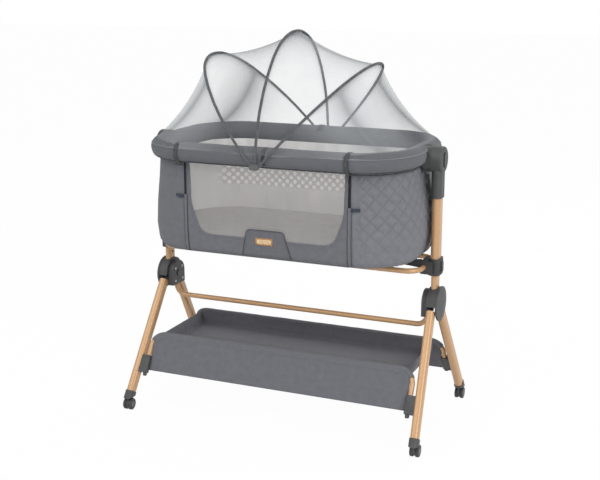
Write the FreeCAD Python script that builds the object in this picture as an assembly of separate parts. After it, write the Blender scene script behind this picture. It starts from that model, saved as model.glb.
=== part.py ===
"""Bedside sleeper crib: folding stand on casters, height-adjusting masts, a padded
basket with a drop side, a bowed insect net and a fabric storage tray.

Millimetres. X runs along the crib, the drop side faces -Y, Z is up, and the origin
is on the floor under the middle of the crib.
"""
import FreeCAD
import Part
import math
import os

V = FreeCAD.Vector
X_AXIS = V(1, 0, 0)
Y_AXIS = V(0, 1, 0)
Z_AXIS = V(0, 0, 1)
ORIGIN = V(0, 0, 0)

# ---- driving dimensions -------------------------------------------------------------
# stand
MAST_X = 430.0              # centre of each upright, from the middle of the crib
HUB_Z = 374.0               # leg pivot above the floor
LEG_FOOT_X = 450.0          # lower end of a leg's centre line
LEG_FOOT_Y = 232.0
LEG_FOOT_Z = 45.0
LEG_OFFSET_Y = 30.0         # leg's centre line from the pivot, level with it
LEG_WIDTH = 23.0            # leg section along X
LEG_DEPTH = 30.0            # leg section across its slope
LEG_CORNER = 9.0
LEG_WALL = 1.6
LEG_TOP_GAP = 34.0          # leg tube's top end from the pivot, along the leg
HUB_RADIUS = 50.0
HUB_INBOARD_GAP = 0.5       # leg tube to the hub core's plate
HUB_OUTBOARD_GAP = 3.4      # leg tubes lean outwards, so the cover stands further off
CORE_HALF_WIDTH = 36.0
CORE_RISE = 4.0             # its round top's centre above the pivot
CORE_FOOT = 34.0            # its flat foot below the pivot
CORE_THICKNESS = 17.0
SADDLE_HALF = 14.0          # flat under the saddle between the leg tops
SADDLE_RISE = 16.0
SADDLE_DROP = 6.0           # how far its underside falls towards the rim
COVER_DEPTH = 9.5
COVER_RIM = 5.0
PIN_RADIUS = 6.0
KNUCKLE_RADIUS = 15.0
KNUCKLE_PLUG = 40.0         # how far down the leg a knuckle's plug ends
KNUCKLE_ARM_HALF = 9.0
LANE_GAP = 0.6              # between the two legs' knuckles on one pin
LANE_INNER = MAST_X - LEG_WIDTH / 2 + 1.0
LANE_OUTER = MAST_X + LEG_WIDTH / 2 - 1.0
CROSSBAR_DIAMETER = 15.0
CROSSBAR_Z = 305.0
CROSSBAR_BEND = 32.0
TUBE_WALL = 1.5
UPRIGHT_FOOT_Z = HUB_Z + 22.0
HUB_PLATE_X = MAST_X - LEG_WIDTH / 2 - HUB_INBOARD_GAP
HUB_COVER_X = MAST_X + LEG_WIDTH / 2 + HUB_OUTBOARD_GAP
CROSSBAR_END_X = HUB_PLATE_X - CORE_THICKNESS / 2
CROSSBAR_TOP_Z = HUB_Z - 14.0

# casters
WHEEL_DIAMETER = 35.0
WHEEL_WIDTH = 9.0
WHEEL_PITCH = 16.0          # centre to centre of a caster's two wheels
CASTER_TRAIL = 9.0          # wheel axle behind the swivel
STEM_RADIUS = 4.0
STEM_LENGTH = 14.0
AXLE_RADIUS = 2.5
HEAD_RADIUS = 10.0
HEAD_THICKNESS = 2.5
SOCKET_LENGTH = 10.0        # of the cup round the leg
SOCKET_PLUG = 36.0          # of the plug inside it
SOCKET_WALL = 2.2
WHEEL_RADIUS = WHEEL_DIAMETER / 2
SOCKET_Z = WHEEL_DIAMETER + HEAD_THICKNESS + 1.5
STEM_X = LEG_FOOT_X
STEM_Y = LEG_FOOT_Y - 2.0
FORK_HALF = WHEEL_PITCH / 2 - WHEEL_WIDTH / 2 - 0.4

# masts
INNER_WIDTH = 18.0          # inner upright along X
INNER_DEPTH = 38.0
INNER_TOP_Z = 735.0
OUTER_WIDTH = 24.0          # outer upright along X
OUTER_DEPTH = 44.0
OUTER_WALL = 1.6
HOLE_PITCH = 30.0           # height steps
HOLE_RADIUS = 4.0
HOLE_COUNT = 7
FIRST_HOLE_Z = 442.0
COLLAR_Z = 460.0
COLLAR_HEIGHT = 47.0
COLLAR_WALL = 4.5
COLLAR_CORNER = 12.0
COLLAR_STEP = 5.0           # block and button housing inside the sleeve's height
COLLAR_LIP = 8.0
COLLAR_BLOCK_X = 393.0      # inboard face of the block that takes the cradle tube
COLLAR_BLOCK_Y = 35.0
HOUSING_WIDTH = 26.0        # round the collar's button
HOUSING_OUT = 1.5
CAP_TOP_Z = 824.0
CAP_BOTTOM_Z = 680.0
CAP_WALL = 3.2
CAP_OUTBOARD_X = 448.0      # the drum's outer face
CAP_DRUM_RADIUS = 37.0
CAP_CORNER = 14.0
PIVOT_Z = CAP_TOP_Z - CAP_DRUM_RADIUS             # basket pivot
BOSS_RADIUS = 35.0
BOSS_X = 388.3              # inboard face of the pivot boss
PIVOT_RADIUS = 9.0
BUTTON_SIZE = (30.0, 15.0)  # height and width of the collar's button
CAP_BUTTON_SIZE = (42.0, 25.0)
BUTTON_PROUD = 3.0
BUTTON_DEEP = 3.0
BUTTON_TRAVEL = 2.5
CRADLE_DIAMETER = 15.0
CRADLE_Z = 484.0
CRADLE_Y = 88.0
CRADLE_X = 404.0
CRADLE_SEAT = 20.0          # how far the tube's end goes into the collar's block
CRADLE_BEND = 42.0

# basket
RAIL_X = 380.0              # rail's centre line
RAIL_Y = 228.0
RAIL_Z = 800.0
RAIL_BEND = 150.0
RAIL_RADIUS = 29.0
RAIL_BAR_RADIUS = 8.0
SIDE_X = 245.0              # zips on each side of the drop side
BASE_Z = 508.0
BASE_THICKNESS = 13.0
SKIRT_HALF_X = 406.0        # outside, where it bulges most
SKIRT_HALF_Y = RAIL_Y - 15.0
SKIRT_TOP_Z = RAIL_Z - 10.0
SKIRT_HEIGHT = SKIRT_TOP_Z - BASE_Z
SKIRT_WALL = 6.0
MATTRESS_HEIGHT = 40.0
MATTRESS_GAP = 6.0
WINDOW_TOP_HALF = 232.0
WINDOW_LOW_HALF = 188.0
WINDOW_SHOULDER_HALF = 224.0
WINDOW_SHOULDER_Z = 650.0
WINDOW_BOTTOM_Z = 566.0
WINDOW_TOP_Z = 768.0
WINDOW_CORNER = 24.0
MESH_THICKNESS = 1.5
DROP_GAP = 0.6

# net
BOW_DIAMETER = 8.5
EYE_RADIUS = BOW_DIAMETER / 2 + 0.3
EYE_THICKNESS = BOW_DIAMETER - 0.5
BOW_CLEAR = 7.0             # bow ends' centre line outside the rail
BOW_HALF_WIDTH = RAIL_Y + RAIL_RADIUS + BOW_CLEAR
BOW_BASE_Z = 779.0
BOW_SPACING = 10.0          # bow pivots apart at the clips
BOW_CENTRE_X = -5.0
MIDDLE_BOW_HEIGHT = 349.0
LEFT_BOW_HEIGHT = 368.0
RIGHT_BOW_HEIGHT = 358.0
LEFT_BOW_TILT = 40.4
RIGHT_BOW_TILT = 42.5
MIDDLE_BOW_TILT = 1.5
BOW_CROWN_SHARE = 1.07      # crown radius over that of an ellipse
CLIP_WIDTH = 28.0
CLIP_THICKNESS = 4.0
CLIP_DROP = 8.0
CLIP_PIN_RADIUS = 2.0
CLIP_OUT = BOW_HALF_WIDTH + BOW_DIAMETER / 2 + 0.4
NET_THICKNESS = 1.2
NET_HEM_Z = 813.0
NET_HEM_OUT = 26.5          # hem beyond the rail's centre line

# tray
TRAY_TUBE_DIAMETER = 14.0
TRAY_TOP_Z = 213.0
TRAY_TOP_Y = 133.0
TRAY_SIDE_X = 417.0
TRAY_BEND = 42.0
TRAY_TUBE_LOW_Z = 126.0
TRAY_PANEL_TOP = (140.0, 215.0)     # how far forward and how high its top edge is
TRAY_PANEL_LOW = (185.5, 113.0)     # and its bottom edge
TRAY_PANEL_CORNER = 54.0
TRAY_PANEL_THICKNESS = 2.5
TRAY_PANEL_HALF = 407.5
TRAY_FLOOR_Z = 170.0
TRAY_FLOOR_THICKNESS = 2.5
TRAY_INSIDE_X = 394.0
TRAY_INSIDE_Y = 123.2
TRAY_TAPER = 8.0            # floor drawn in from the trough's rim
TRAY_FLOOR_CORNER = 12.0
TRAY_RIM_DROP = 2.0         # rim below the tubes' centre line
BRACKET_LOW_Z = 108.0
BRACKET_TOP_Z = 153.0
BRACKET_INBOARD_X = 408.0
BRACKET_OUTBOARD_X = 442.0
BRACKET_DEPTH = 18.0
BRACKET_CORNER = 4.0
LUG_RADIUS = 6.0
LUG_DROP = 9.0
STRAP_WIDTH = 20.0
STRAP_THICKNESS = 1.6
STRAP_X = 408.9
STRAP_Y = -50.0
STRAP_LOW_Z = 536.0
STRAP_TOP_Z = 730.0
BUCKLE_Z = 583.0
BUCKLE_HEIGHT = 34.0
BUCKLE_WIDTH = STRAP_WIDTH + 8
BUCKLE_THICKNESS = 5.0

# clearances
RUNNING = 0.05              # radial, in pins and bores
SLIDING = 0.3               # telescoping tubes and buttons
SEAT = 0.1                  # fixed pieces that push together
SOFT_GAP = 0.3              # fabric beside its neighbour

FAR = 2 * MAST_X            # reaches past the crib on every side

os.makedirs("parts", exist_ok=True)


# ---- helpers ------------------------------------------------------------------------
def save(name, *solids):
    """Write one sub-part, as one solid or a group of separate ones."""
    shape = solids[0] if len(solids) == 1 else Part.makeCompound(list(solids))
    shape.exportStep("parts/" + name + ".step")


def box(x0, x1, y0, y1, z0, z1):
    return Part.makeBox(x1 - x0, y1 - y0, z1 - z0, V(x0, y0, z0))


def rod(start, end, radius):
    along = end - start
    return Part.makeCylinder(radius, along.Length, start, along)


def mirror_x(shape):
    return shape.mirror(ORIGIN, X_AXIS)


def mirror_y(shape):
    return shape.mirror(ORIGIN, Y_AXIS)


def rounded_wire(half_x, half_y, radius, place):
    """Rounded rectangle in the XY plane of a placement, eight edges."""
    r = min(radius, half_x - 0.01, half_y - 0.01)
    edges = []
    corners = ((1, 1, 0), (-1, 1, 90), (-1, -1, 180), (1, -1, 270))
    points = []
    for sx, sy, turn in corners:
        centre = V(sx * (half_x - r), sy * (half_y - r), 0)
        arc = [centre + V(r * math.cos(math.radians(a)), r * math.sin(math.radians(a)), 0)
               for a in (turn, turn + 45, turn + 90)]
        points.append(arc)
    for i, arc in enumerate(points):
        edges.append(Part.Arc(*arc).toShape())
        edges.append(Part.LineSegment(arc[2], points[(i + 1) % 4][0]).toShape())
    wire = Part.Wire(edges)
    wire.Placement = place
    return wire


def bar(half_x, half_y, radius, place, length):
    """Prism of rounded-rectangle section along a placement's Z axis."""
    face = Part.Face(rounded_wire(half_x, half_y, radius, place))
    return face.extrude(place.Rotation.multVec(Z_AXIS) * length)


def upright(half_x, half_y, radius, x, z0, z1):
    place = FreeCAD.Placement(V(x, 0, z0), FreeCAD.Rotation())
    return bar(half_x, half_y, radius, place, z1 - z0)


def bent_tube(points, bend, diameter, wall=None):
    """Round tube along straight runs joined by tangent arcs of one radius."""
    edges = []
    last = points[0]
    for before, corner, after in zip(points, points[1:], points[2:]):
        a = (before - corner).normalize()
        b = (after - corner).normalize()
        half = a.getAngle(b) / 2
        reach = bend / math.tan(half)
        start = corner + a * reach
        end = corner + b * reach
        centre_way = (a + b).normalize()
        middle = corner + centre_way * (bend / math.sin(half) - bend)
        edges.append(Part.LineSegment(last, start).toShape())
        edges.append(Part.Arc(start, middle, end).toShape())
        last = end
    edges.append(Part.LineSegment(last, points[-1]).toShape())
    path = Part.Wire(edges)
    heading = (points[1] - points[0]).normalize()

    def sweep(radius):
        ring = Part.Wire(Part.Circle(points[0], heading, radius).toShape())
        return path.makePipeShell([ring], True, False)

    outer = sweep(diameter / 2)
    if wall is None:
        return outer
    return outer.cut(sweep(diameter / 2 - wall))


def prism_yz(points, x0, x1):
    """Prism along X of an outline given as (y, z) pairs."""
    wire = Part.makePolygon([V(x0, y, z) for y, z in points + points[:1]])
    return Part.Face(wire).extrude(V(x1 - x0, 0, 0))


# ---- stand --------------------------------------------------------------------------
leg_foot = V(LEG_FOOT_X, -LEG_FOOT_Y, LEG_FOOT_Z)
leg_head = V(MAST_X, -LEG_OFFSET_Y, HUB_Z)
leg_way = (leg_foot - leg_head).normalize()
leg_side = (X_AXIS - leg_way * X_AXIS.dot(leg_way)).normalize()
leg_front = leg_way.cross(leg_side)
LEG_TURN = FreeCAD.Rotation(leg_side, leg_front, leg_way, "ZXY")
hub_centre = V(MAST_X, 0, HUB_Z)


def on_leg(along):
    """Point of the leg's centre line at a distance past the pivot."""
    start = leg_way.dot(leg_head - hub_centre)
    return leg_head + leg_way * (along - start)


leg_length = leg_way.dot(leg_foot - hub_centre)


def leg_bar(start, end, grow):
    place = FreeCAD.Placement(on_leg(start), LEG_TURN)
    return bar(LEG_WIDTH / 2 + grow, LEG_DEPTH / 2 + grow, LEG_CORNER + grow, place, end - start)


def leg_tube():
    start = LEG_TOP_GAP
    end = leg_length - SOCKET_WALL
    return leg_bar(start, end, 0).cut(leg_bar(start - 1, end + 1, -LEG_WALL))


def knuckle(lane_low, lane_high):
    """Plate on the pivot pin with an arm that plugs into the leg's top end."""
    head = hub_centre
    tail = on_leg(LEG_TOP_GAP + 6)
    way = V(0, tail.y - head.y, tail.z - head.z).normalize()
    side = V(0, -way.z, way.y) * KNUCKLE_ARM_HALF
    corners = [head + side, tail + side, tail - side, head - side]
    arm = prism_yz([(p.y, p.z) for p in corners], lane_low, lane_high)
    disc = rod(V(lane_low, 0, HUB_Z), V(lane_high, 0, HUB_Z), KNUCKLE_RADIUS)
    plug = leg_bar(LEG_TOP_GAP + 0.5, LEG_TOP_GAP + KNUCKLE_PLUG, -LEG_WALL - SEAT)
    bore = rod(V(lane_low - 1, 0, HUB_Z), V(lane_high + 1, 0, HUB_Z), PIN_RADIUS + RUNNING)
    wall = leg_bar(LEG_TOP_GAP - SEAT, leg_length, LEG_WALL).cut(leg_bar(0, leg_length, -LEG_WALL - SEAT))
    return disc.fuse([arm, plug]).removeSplitter().cut(wall).cut(bore)


def leg_socket():
    """Plastic foot that closes the leg and takes the caster's stem."""
    cup = leg_bar(leg_length - SOCKET_LENGTH, leg_length + 30, SOCKET_WALL)
    cup = cup.cut(leg_bar(leg_length - SOCKET_LENGTH - 1, leg_length - SOCKET_WALL + SEAT, SEAT))
    cup = cup.fuse(leg_bar(leg_length - SOCKET_PLUG, leg_length, -LEG_WALL - SEAT)).removeSplitter()
    floor = box(LEG_FOOT_X - 60, LEG_FOOT_X + 60, -LEG_FOOT_Y - 60, -LEG_FOOT_Y + 60, -40, SOCKET_Z)
    bore = rod(V(STEM_X, -STEM_Y, 0), V(STEM_X, -STEM_Y, SOCKET_Z + STEM_LENGTH + SLIDING),
               STEM_RADIUS + RUNNING)
    return cup.cut(floor).cut(bore)


def caster_fork(stem_y, axle_y):
    """Swivel head, stem and the plate between the wheels that holds the axle."""
    head_low = SOCKET_Z - SLIDING - HEAD_THICKNESS
    stem = rod(V(STEM_X, stem_y, head_low), V(STEM_X, stem_y, SOCKET_Z + STEM_LENGTH), STEM_RADIUS)
    head = rod(V(STEM_X, stem_y, head_low), V(STEM_X, stem_y, SOCKET_Z - SLIDING), HEAD_RADIUS)
    plate = box(STEM_X - FORK_HALF, STEM_X + FORK_HALF, min(stem_y, axle_y) - 8, max(stem_y, axle_y) + 8,
                WHEEL_RADIUS - 5, head_low + 0.5)
    bore = rod(V(STEM_X - 30, axle_y, WHEEL_RADIUS), V(STEM_X + 30, axle_y, WHEEL_RADIUS),
               AXLE_RADIUS + RUNNING)
    hood = rod(V(STEM_X - FORK_HALF, axle_y, WHEEL_RADIUS), V(STEM_X + FORK_HALF, axle_y, WHEEL_RADIUS),
               WHEEL_RADIUS - 3)
    return head.fuse([stem, plate, hood]).removeSplitter().cut(bore)


def caster_wheels(axle_y):
    """Two wheels on one turning axle."""
    solids = []
    for side in (-1, 1):
        middle = STEM_X + side * WHEEL_PITCH / 2
        rim = rod(V(middle - WHEEL_WIDTH / 2, axle_y, WHEEL_RADIUS),
                  V(middle + WHEEL_WIDTH / 2, axle_y, WHEEL_RADIUS), WHEEL_RADIUS)
        rim = rim.makeFillet(1.6, [e for e in rim.Edges if e.Length > math.pi * WHEEL_DIAMETER * 0.9
                                   and e.Closed])
        solids.append(rim)
    axle = rod(V(STEM_X - WHEEL_PITCH / 2, axle_y, WHEEL_RADIUS),
               V(STEM_X + WHEEL_PITCH / 2, axle_y, WHEEL_RADIUS), AXLE_RADIUS)
    return axle.fuse(solids).removeSplitter()


def hub_core():
    """Inboard half of a hub: round-topped plate, upright socket and crossbar socket."""
    outer = HUB_PLATE_X
    inner = outer - CORE_THICKNESS
    middle = HUB_Z + CORE_RISE
    plate = rod(V(inner, 0, middle), V(outer, 0, middle), CORE_HALF_WIDTH)
    foot = box(inner, outer, -CORE_HALF_WIDTH, CORE_HALF_WIDTH, HUB_Z - CORE_FOOT, middle)
    saddle_end = HUB_COVER_X
    saddle = rod(V(outer - 0.5, 0, HUB_Z), V(saddle_end, 0, HUB_Z), HUB_RADIUS - 1.5)
    past = HUB_RADIUS + 12
    swept = prism_yz([(-past, HUB_Z - SADDLE_DROP), (-SADDLE_HALF, HUB_Z + SADDLE_RISE),
                      (SADDLE_HALF, HUB_Z + SADDLE_RISE), (past, HUB_Z - SADDLE_DROP),
                      (past, HUB_Z - past), (-past, HUB_Z - past)], outer - 1, saddle_end + 1)
    saddle = saddle.cut(swept)
    saddle = saddle.cut(rod(V(outer, 0, HUB_Z), V(saddle_end + 1, 0, HUB_Z), KNUCKLE_RADIUS + 1.5))
    core = plate.fuse([foot, saddle]).removeSplitter()
    seat = upright(INNER_WIDTH / 2 + SEAT, INNER_DEPTH / 2 + SEAT, INNER_WIDTH / 2 + SEAT,
                   MAST_X, UPRIGHT_FOOT_Z, HUB_Z + 80)
    bore = rod(V(inner - 1, 0, HUB_Z), V(saddle_end + 1, 0, HUB_Z), PIN_RADIUS + SEAT)
    socket = rod(V(CROSSBAR_END_X, 0, HUB_Z - 60), V(CROSSBAR_END_X, 0, CROSSBAR_TOP_Z),
                 CROSSBAR_DIAMETER / 2 + SEAT)
    return core.cut(seat).cut(bore).cut(socket)


def hub_cover():
    """Domed outboard disc of a hub."""
    face = HUB_COVER_X + SEAT
    rim = rod(V(face, 0, HUB_Z), V(face + COVER_RIM, 0, HUB_Z), HUB_RADIUS)
    dome = COVER_DEPTH - COVER_RIM
    ball = (HUB_RADIUS ** 2 + dome ** 2) / (2 * dome)
    centre = V(face + COVER_DEPTH - ball, 0, HUB_Z)
    cap = Part.makeSphere(ball, centre).common(
        rod(V(face + COVER_RIM - 0.5, 0, HUB_Z), V(face + COVER_DEPTH + 5, 0, HUB_Z), HUB_RADIUS))
    cover = rim.fuse(cap).removeSplitter()
    bore = rod(V(face - 1, 0, HUB_Z), V(face + COVER_RIM + 3, 0, HUB_Z), PIN_RADIUS + SEAT)
    return cover.cut(bore)


def hub_pin():
    """Pivot pin with a round head on the inboard side."""
    inner = HUB_PLATE_X - CORE_THICKNESS
    outer = HUB_COVER_X + COVER_RIM
    shank = rod(V(inner, 0, HUB_Z), V(outer, 0, HUB_Z), PIN_RADIUS)
    head = rod(V(inner - 3, 0, HUB_Z), V(inner, 0, HUB_Z), PIN_RADIUS + 4)
    return head.fuse(shank).removeSplitter()


def inner_upright():
    """Fixed lower post with the row of height holes on its inboard face."""
    half_x = INNER_WIDTH / 2
    half_y = INNER_DEPTH / 2
    post = upright(half_x, half_y, half_x, MAST_X, UPRIGHT_FOOT_Z, INNER_TOP_Z)
    post = post.cut(upright(half_x - TUBE_WALL, half_y - TUBE_WALL, half_x - TUBE_WALL,
                            MAST_X, UPRIGHT_FOOT_Z - 1, INNER_TOP_Z + 1))
    for i in range(HOLE_COUNT):
        z = FIRST_HOLE_Z + i * HOLE_PITCH
        post = post.cut(rod(V(MAST_X - half_x - 2, 0, z), V(MAST_X, 0, z), HOLE_RADIUS))
    return post


def crossbar():
    top = V(CROSSBAR_END_X, 0, CROSSBAR_TOP_Z - SEAT)
    low = V(CROSSBAR_END_X, 0, CROSSBAR_Z)
    points = [V(-top.x, 0, top.z), V(-low.x, 0, low.z), low, top]
    return bent_tube(points, CROSSBAR_BEND, CROSSBAR_DIAMETER, TUBE_WALL)


front_lane = (LANE_INNER, MAST_X - LANE_GAP / 2)
back_lane = (MAST_X + LANE_GAP / 2, LANE_OUTER)
leg = leg_tube()
socket = leg_socket()
front_knuckle = knuckle(*front_lane)
back_knuckle = mirror_y(knuckle(*back_lane))
save("crossbar", crossbar())
save("inner_uprights", inner_upright(), mirror_x(inner_upright()))
save("hub_core_right", hub_core())
save("hub_core_left", mirror_x(hub_core()))
save("hub_covers", hub_cover(), mirror_x(hub_cover()))
save("hub_pins", hub_pin(), mirror_x(hub_pin()))
save("leg_front_right", leg)
save("leg_front_left", mirror_x(leg))
save("leg_back_right", mirror_y(leg))
save("leg_back_left", mirror_x(mirror_y(leg)))
save("front_knuckles", front_knuckle, mirror_x(front_knuckle))
save("back_knuckles", back_knuckle, mirror_x(back_knuckle))
save("front_leg_sockets", socket, mirror_x(socket))
save("back_leg_sockets", mirror_y(socket), mirror_x(mirror_y(socket)))
# each caster has swivelled its own way: the front left one trails forwards
for corner, turned, stem_y, trail in (("front_right", lambda s: s, -STEM_Y, CASTER_TRAIL),
                                      ("front_left", mirror_x, -STEM_Y, -CASTER_TRAIL),
                                      ("back_right", lambda s: s, STEM_Y, CASTER_TRAIL),
                                      ("back_left", mirror_x, STEM_Y, CASTER_TRAIL)):
    save("caster_fork_" + corner, turned(caster_fork(stem_y, stem_y + trail)))
    save("caster_wheels_" + corner, turned(caster_wheels(stem_y + trail)))


# ---- masts --------------------------------------------------------------------------
collar_half_x = OUTER_WIDTH / 2 + COLLAR_WALL
collar_half_y = OUTER_DEPTH / 2 + COLLAR_WALL
COLLAR_FACE_X = MAST_X + collar_half_x + HOUSING_OUT
BUTTON_Z = COLLAR_Z + COLLAR_HEIGHT / 2
post_top = PIVOT_Z + OUTER_DEPTH / 2
cap_half_x = OUTER_WIDTH / 2 + CAP_WALL
cap_half_y = OUTER_DEPTH / 2 + CAP_WALL


def outer_upright():
    """Sliding upper post, from the collar's lip up into the cap."""
    z0 = COLLAR_Z + COLLAR_LIP
    half_x = OUTER_WIDTH / 2
    half_y = OUTER_DEPTH / 2
    post = upright(half_x, half_y, half_x, MAST_X, z0, post_top)
    return post.cut(upright(half_x - OUTER_WALL, half_y - OUTER_WALL, half_x - OUTER_WALL,
                            MAST_X, z0 - 1, post_top + 1))


def button_bar(size, grow, x_low, x_high, z):
    """Round-ended bar along X of a button's size."""
    height, width = size
    place = FreeCAD.Placement(V(x_low, 0, z), FreeCAD.Rotation(Y_AXIS, 90))
    return bar(height / 2 + grow, width / 2 + grow, width / 2 + grow, place, x_high - x_low)


def button(size, x_face, z):
    """Push button standing proud of a face, moving along X."""
    return button_bar(size, 0, x_face - BUTTON_DEEP, x_face + BUTTON_PROUD, z)


def button_pocket(size, x_face, z):
    depth = BUTTON_DEEP + BUTTON_TRAVEL + SLIDING
    return button_bar(size, SLIDING, x_face - depth, x_face + BUTTON_PROUD, z)


def collar():
    """Collar under the sliding post, with the block that holds the cradle tubes."""
    top = COLLAR_Z + COLLAR_HEIGHT
    sleeve = upright(collar_half_x, collar_half_y, COLLAR_CORNER, MAST_X, COLLAR_Z, top)
    low = COLLAR_Z + COLLAR_STEP
    high = top - COLLAR_STEP
    housing = box(MAST_X, COLLAR_FACE_X, -HOUSING_WIDTH / 2, HOUSING_WIDTH / 2, low, high)
    block = box(COLLAR_BLOCK_X, MAST_X, -COLLAR_BLOCK_Y, COLLAR_BLOCK_Y, low, high)
    block = block.makeFillet(5, [e for e in block.Edges if abs(e.Vertexes[0].X - e.Vertexes[-1].X) < 1
                                 and e.CenterOfMass.x < MAST_X - 1])
    body = sleeve.fuse([housing, block]).removeSplitter()
    seat = upright(OUTER_WIDTH / 2 + SEAT, OUTER_DEPTH / 2 + SEAT, OUTER_WIDTH / 2 + SEAT,
                   MAST_X, COLLAR_Z + COLLAR_LIP, top + 1)
    guide = upright(INNER_WIDTH / 2 + SLIDING, INNER_DEPTH / 2 + SLIDING, INNER_WIDTH / 2 + SLIDING,
                    MAST_X, COLLAR_Z - 1, top)
    body = body.cut(seat).cut(guide)
    body = body.cut(button_pocket(BUTTON_SIZE, COLLAR_FACE_X, BUTTON_Z))
    for side in (-1, 1):
        body = body.cut(rod(V(CRADLE_X, side * (COLLAR_BLOCK_Y - CRADLE_SEAT - 1), CRADLE_Z),
                            V(CRADLE_X, side * (COLLAR_BLOCK_Y + 1), CRADLE_Z),
                            CRADLE_DIAMETER / 2 + SEAT))
    return body


def mast_cap():
    """Cap on the sliding post: a sleeve under a round drum that holds the basket's pivot."""
    sleeve = upright(cap_half_x, cap_half_y, CAP_CORNER, MAST_X, CAP_BOTTOM_Z, PIVOT_Z)
    drum = rod(V(MAST_X - cap_half_x, 0, PIVOT_Z), V(CAP_OUTBOARD_X, 0, PIVOT_Z), CAP_DRUM_RADIUS)
    drum = drum.makeFillet(6, [e for e in drum.Edges if e.Closed and e.CenterOfMass.x > MAST_X])
    body = sleeve.fuse(drum).removeSplitter()
    hollow = upright(OUTER_WIDTH / 2 + SEAT, OUTER_DEPTH / 2 + SEAT, OUTER_WIDTH / 2 + SEAT,
                     MAST_X, CAP_BOTTOM_Z - 1, post_top + SEAT)
    bore = rod(V(MAST_X - cap_half_x - 1, 0, PIVOT_Z), V(MAST_X - OUTER_WIDTH / 2 + 1, 0, PIVOT_Z),
               PIVOT_RADIUS + RUNNING)
    return body.cut(hollow).cut(bore).cut(button_pocket(CAP_BUTTON_SIZE, CAP_OUTBOARD_X, PIVOT_Z))


def pivot_boss():
    """Round boss on the end of the basket, with the stub that turns in the cap."""
    face = MAST_X - cap_half_x - SLIDING
    boss = rod(V(BOSS_X, 0, PIVOT_Z), V(face, 0, PIVOT_Z), BOSS_RADIUS)
    boss = boss.makeFillet(4, [e for e in boss.Edges if e.Closed and e.CenterOfMass.x < BOSS_X + 1])
    stub = rod(V(face - 1, 0, PIVOT_Z), V(MAST_X - OUTER_WIDTH / 2 - SLIDING, 0, PIVOT_Z), PIVOT_RADIUS)
    return boss.fuse(stub).removeSplitter()


def cradle_tube():
    """Bent tube under the basket, from collar to collar."""
    root = COLLAR_BLOCK_Y - CRADLE_SEAT
    points = [V(-CRADLE_X, -root, CRADLE_Z), V(-CRADLE_X, -CRADLE_Y, CRADLE_Z),
              V(CRADLE_X, -CRADLE_Y, CRADLE_Z), V(CRADLE_X, -root, CRADLE_Z)]
    return bent_tube(points, CRADLE_BEND, CRADLE_DIAMETER, TUBE_WALL)


save("outer_upright_right", outer_upright())
save("outer_upright_left", mirror_x(outer_upright()))
save("collar_right", collar())
save("collar_left", mirror_x(collar()))
save("cap_right", mast_cap())
save("cap_left", mirror_x(mast_cap()))
save("cradle_tubes", cradle_tube(), mirror_y(cradle_tube()))
collar_button = button(BUTTON_SIZE, COLLAR_FACE_X, BUTTON_Z)
cap_button = button(CAP_BUTTON_SIZE, CAP_OUTBOARD_X, PIVOT_Z)
save("collar_button_right", collar_button)
save("collar_button_left", mirror_x(collar_button))
save("cap_button_right", cap_button)
save("cap_button_left", mirror_x(cap_button))
save("pivot_bosses", pivot_boss(), mirror_x(pivot_boss()))


# ---- basket -------------------------------------------------------------------------
def level(z):
    return FreeCAD.Placement(V(0, 0, z), FreeCAD.Rotation())


# half length, half width and corner radius of the skirt's outside, up its height
SKIRT_LEVELS = (
    (BASE_Z, SKIRT_HALF_X - 20, SKIRT_HALF_Y - 13, RAIL_BEND),
    (BASE_Z + 0.05 * SKIRT_HEIGHT, SKIRT_HALF_X - 9, SKIRT_HALF_Y - 4, RAIL_BEND + 8),
    (BASE_Z + 0.22 * SKIRT_HEIGHT, SKIRT_HALF_X, SKIRT_HALF_Y, RAIL_BEND + 15),
    (BASE_Z + 0.46 * SKIRT_HEIGHT, SKIRT_HALF_X - 4, SKIRT_HALF_Y, RAIL_BEND + 13),
    (BASE_Z + 0.71 * SKIRT_HEIGHT, SKIRT_HALF_X - 16, SKIRT_HALF_Y, RAIL_BEND + 8),
    (SKIRT_TOP_Z, SKIRT_HALF_X - 29, SKIRT_HALF_Y, RAIL_BEND),
)


def skirt_solid(inset, low, high):
    """Solid of the basket's outside drawn in by a wall, between two heights."""
    wires = [rounded_wire(x - inset, y - inset, r - inset, level(z)) for z, x, y, r in SKIRT_LEVELS]
    form = Part.makeLoft(wires, True, False)
    return form.common(box(-FAR, FAR, -FAR, FAR, low, high))


def rail_ring(radius):
    """Closed padded ring round the top of the basket, as four bars and four bends."""
    pieces = []
    for side in (-1, 1):
        y = side * RAIL_Y
        x = side * RAIL_X
        pieces.append(rod(V(-RAIL_X + RAIL_BEND, y, RAIL_Z), V(RAIL_X - RAIL_BEND, y, RAIL_Z), radius))
        pieces.append(rod(V(x, -RAIL_Y + RAIL_BEND, RAIL_Z), V(x, RAIL_Y - RAIL_BEND, RAIL_Z), radius))
    for i, (sx, sy) in enumerate(((1, 1), (-1, 1), (-1, -1), (1, -1))):
        centre = V(sx * (RAIL_X - RAIL_BEND), sy * (RAIL_Y - RAIL_BEND), RAIL_Z)
        start = FreeCAD.Rotation(Z_AXIS, 90 * i).multVec(X_AXIS)
        ring = Part.Wire(Part.Circle(centre + start * RAIL_BEND, start.cross(Z_AXIS), radius).toShape())
        pieces.append(Part.Face(ring).revolve(centre, Z_AXIS, 90))
    return pieces


def ring_solid(radius):
    pieces = rail_ring(radius)
    return pieces[0].fuse(pieces[1:]).removeSplitter()


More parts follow.
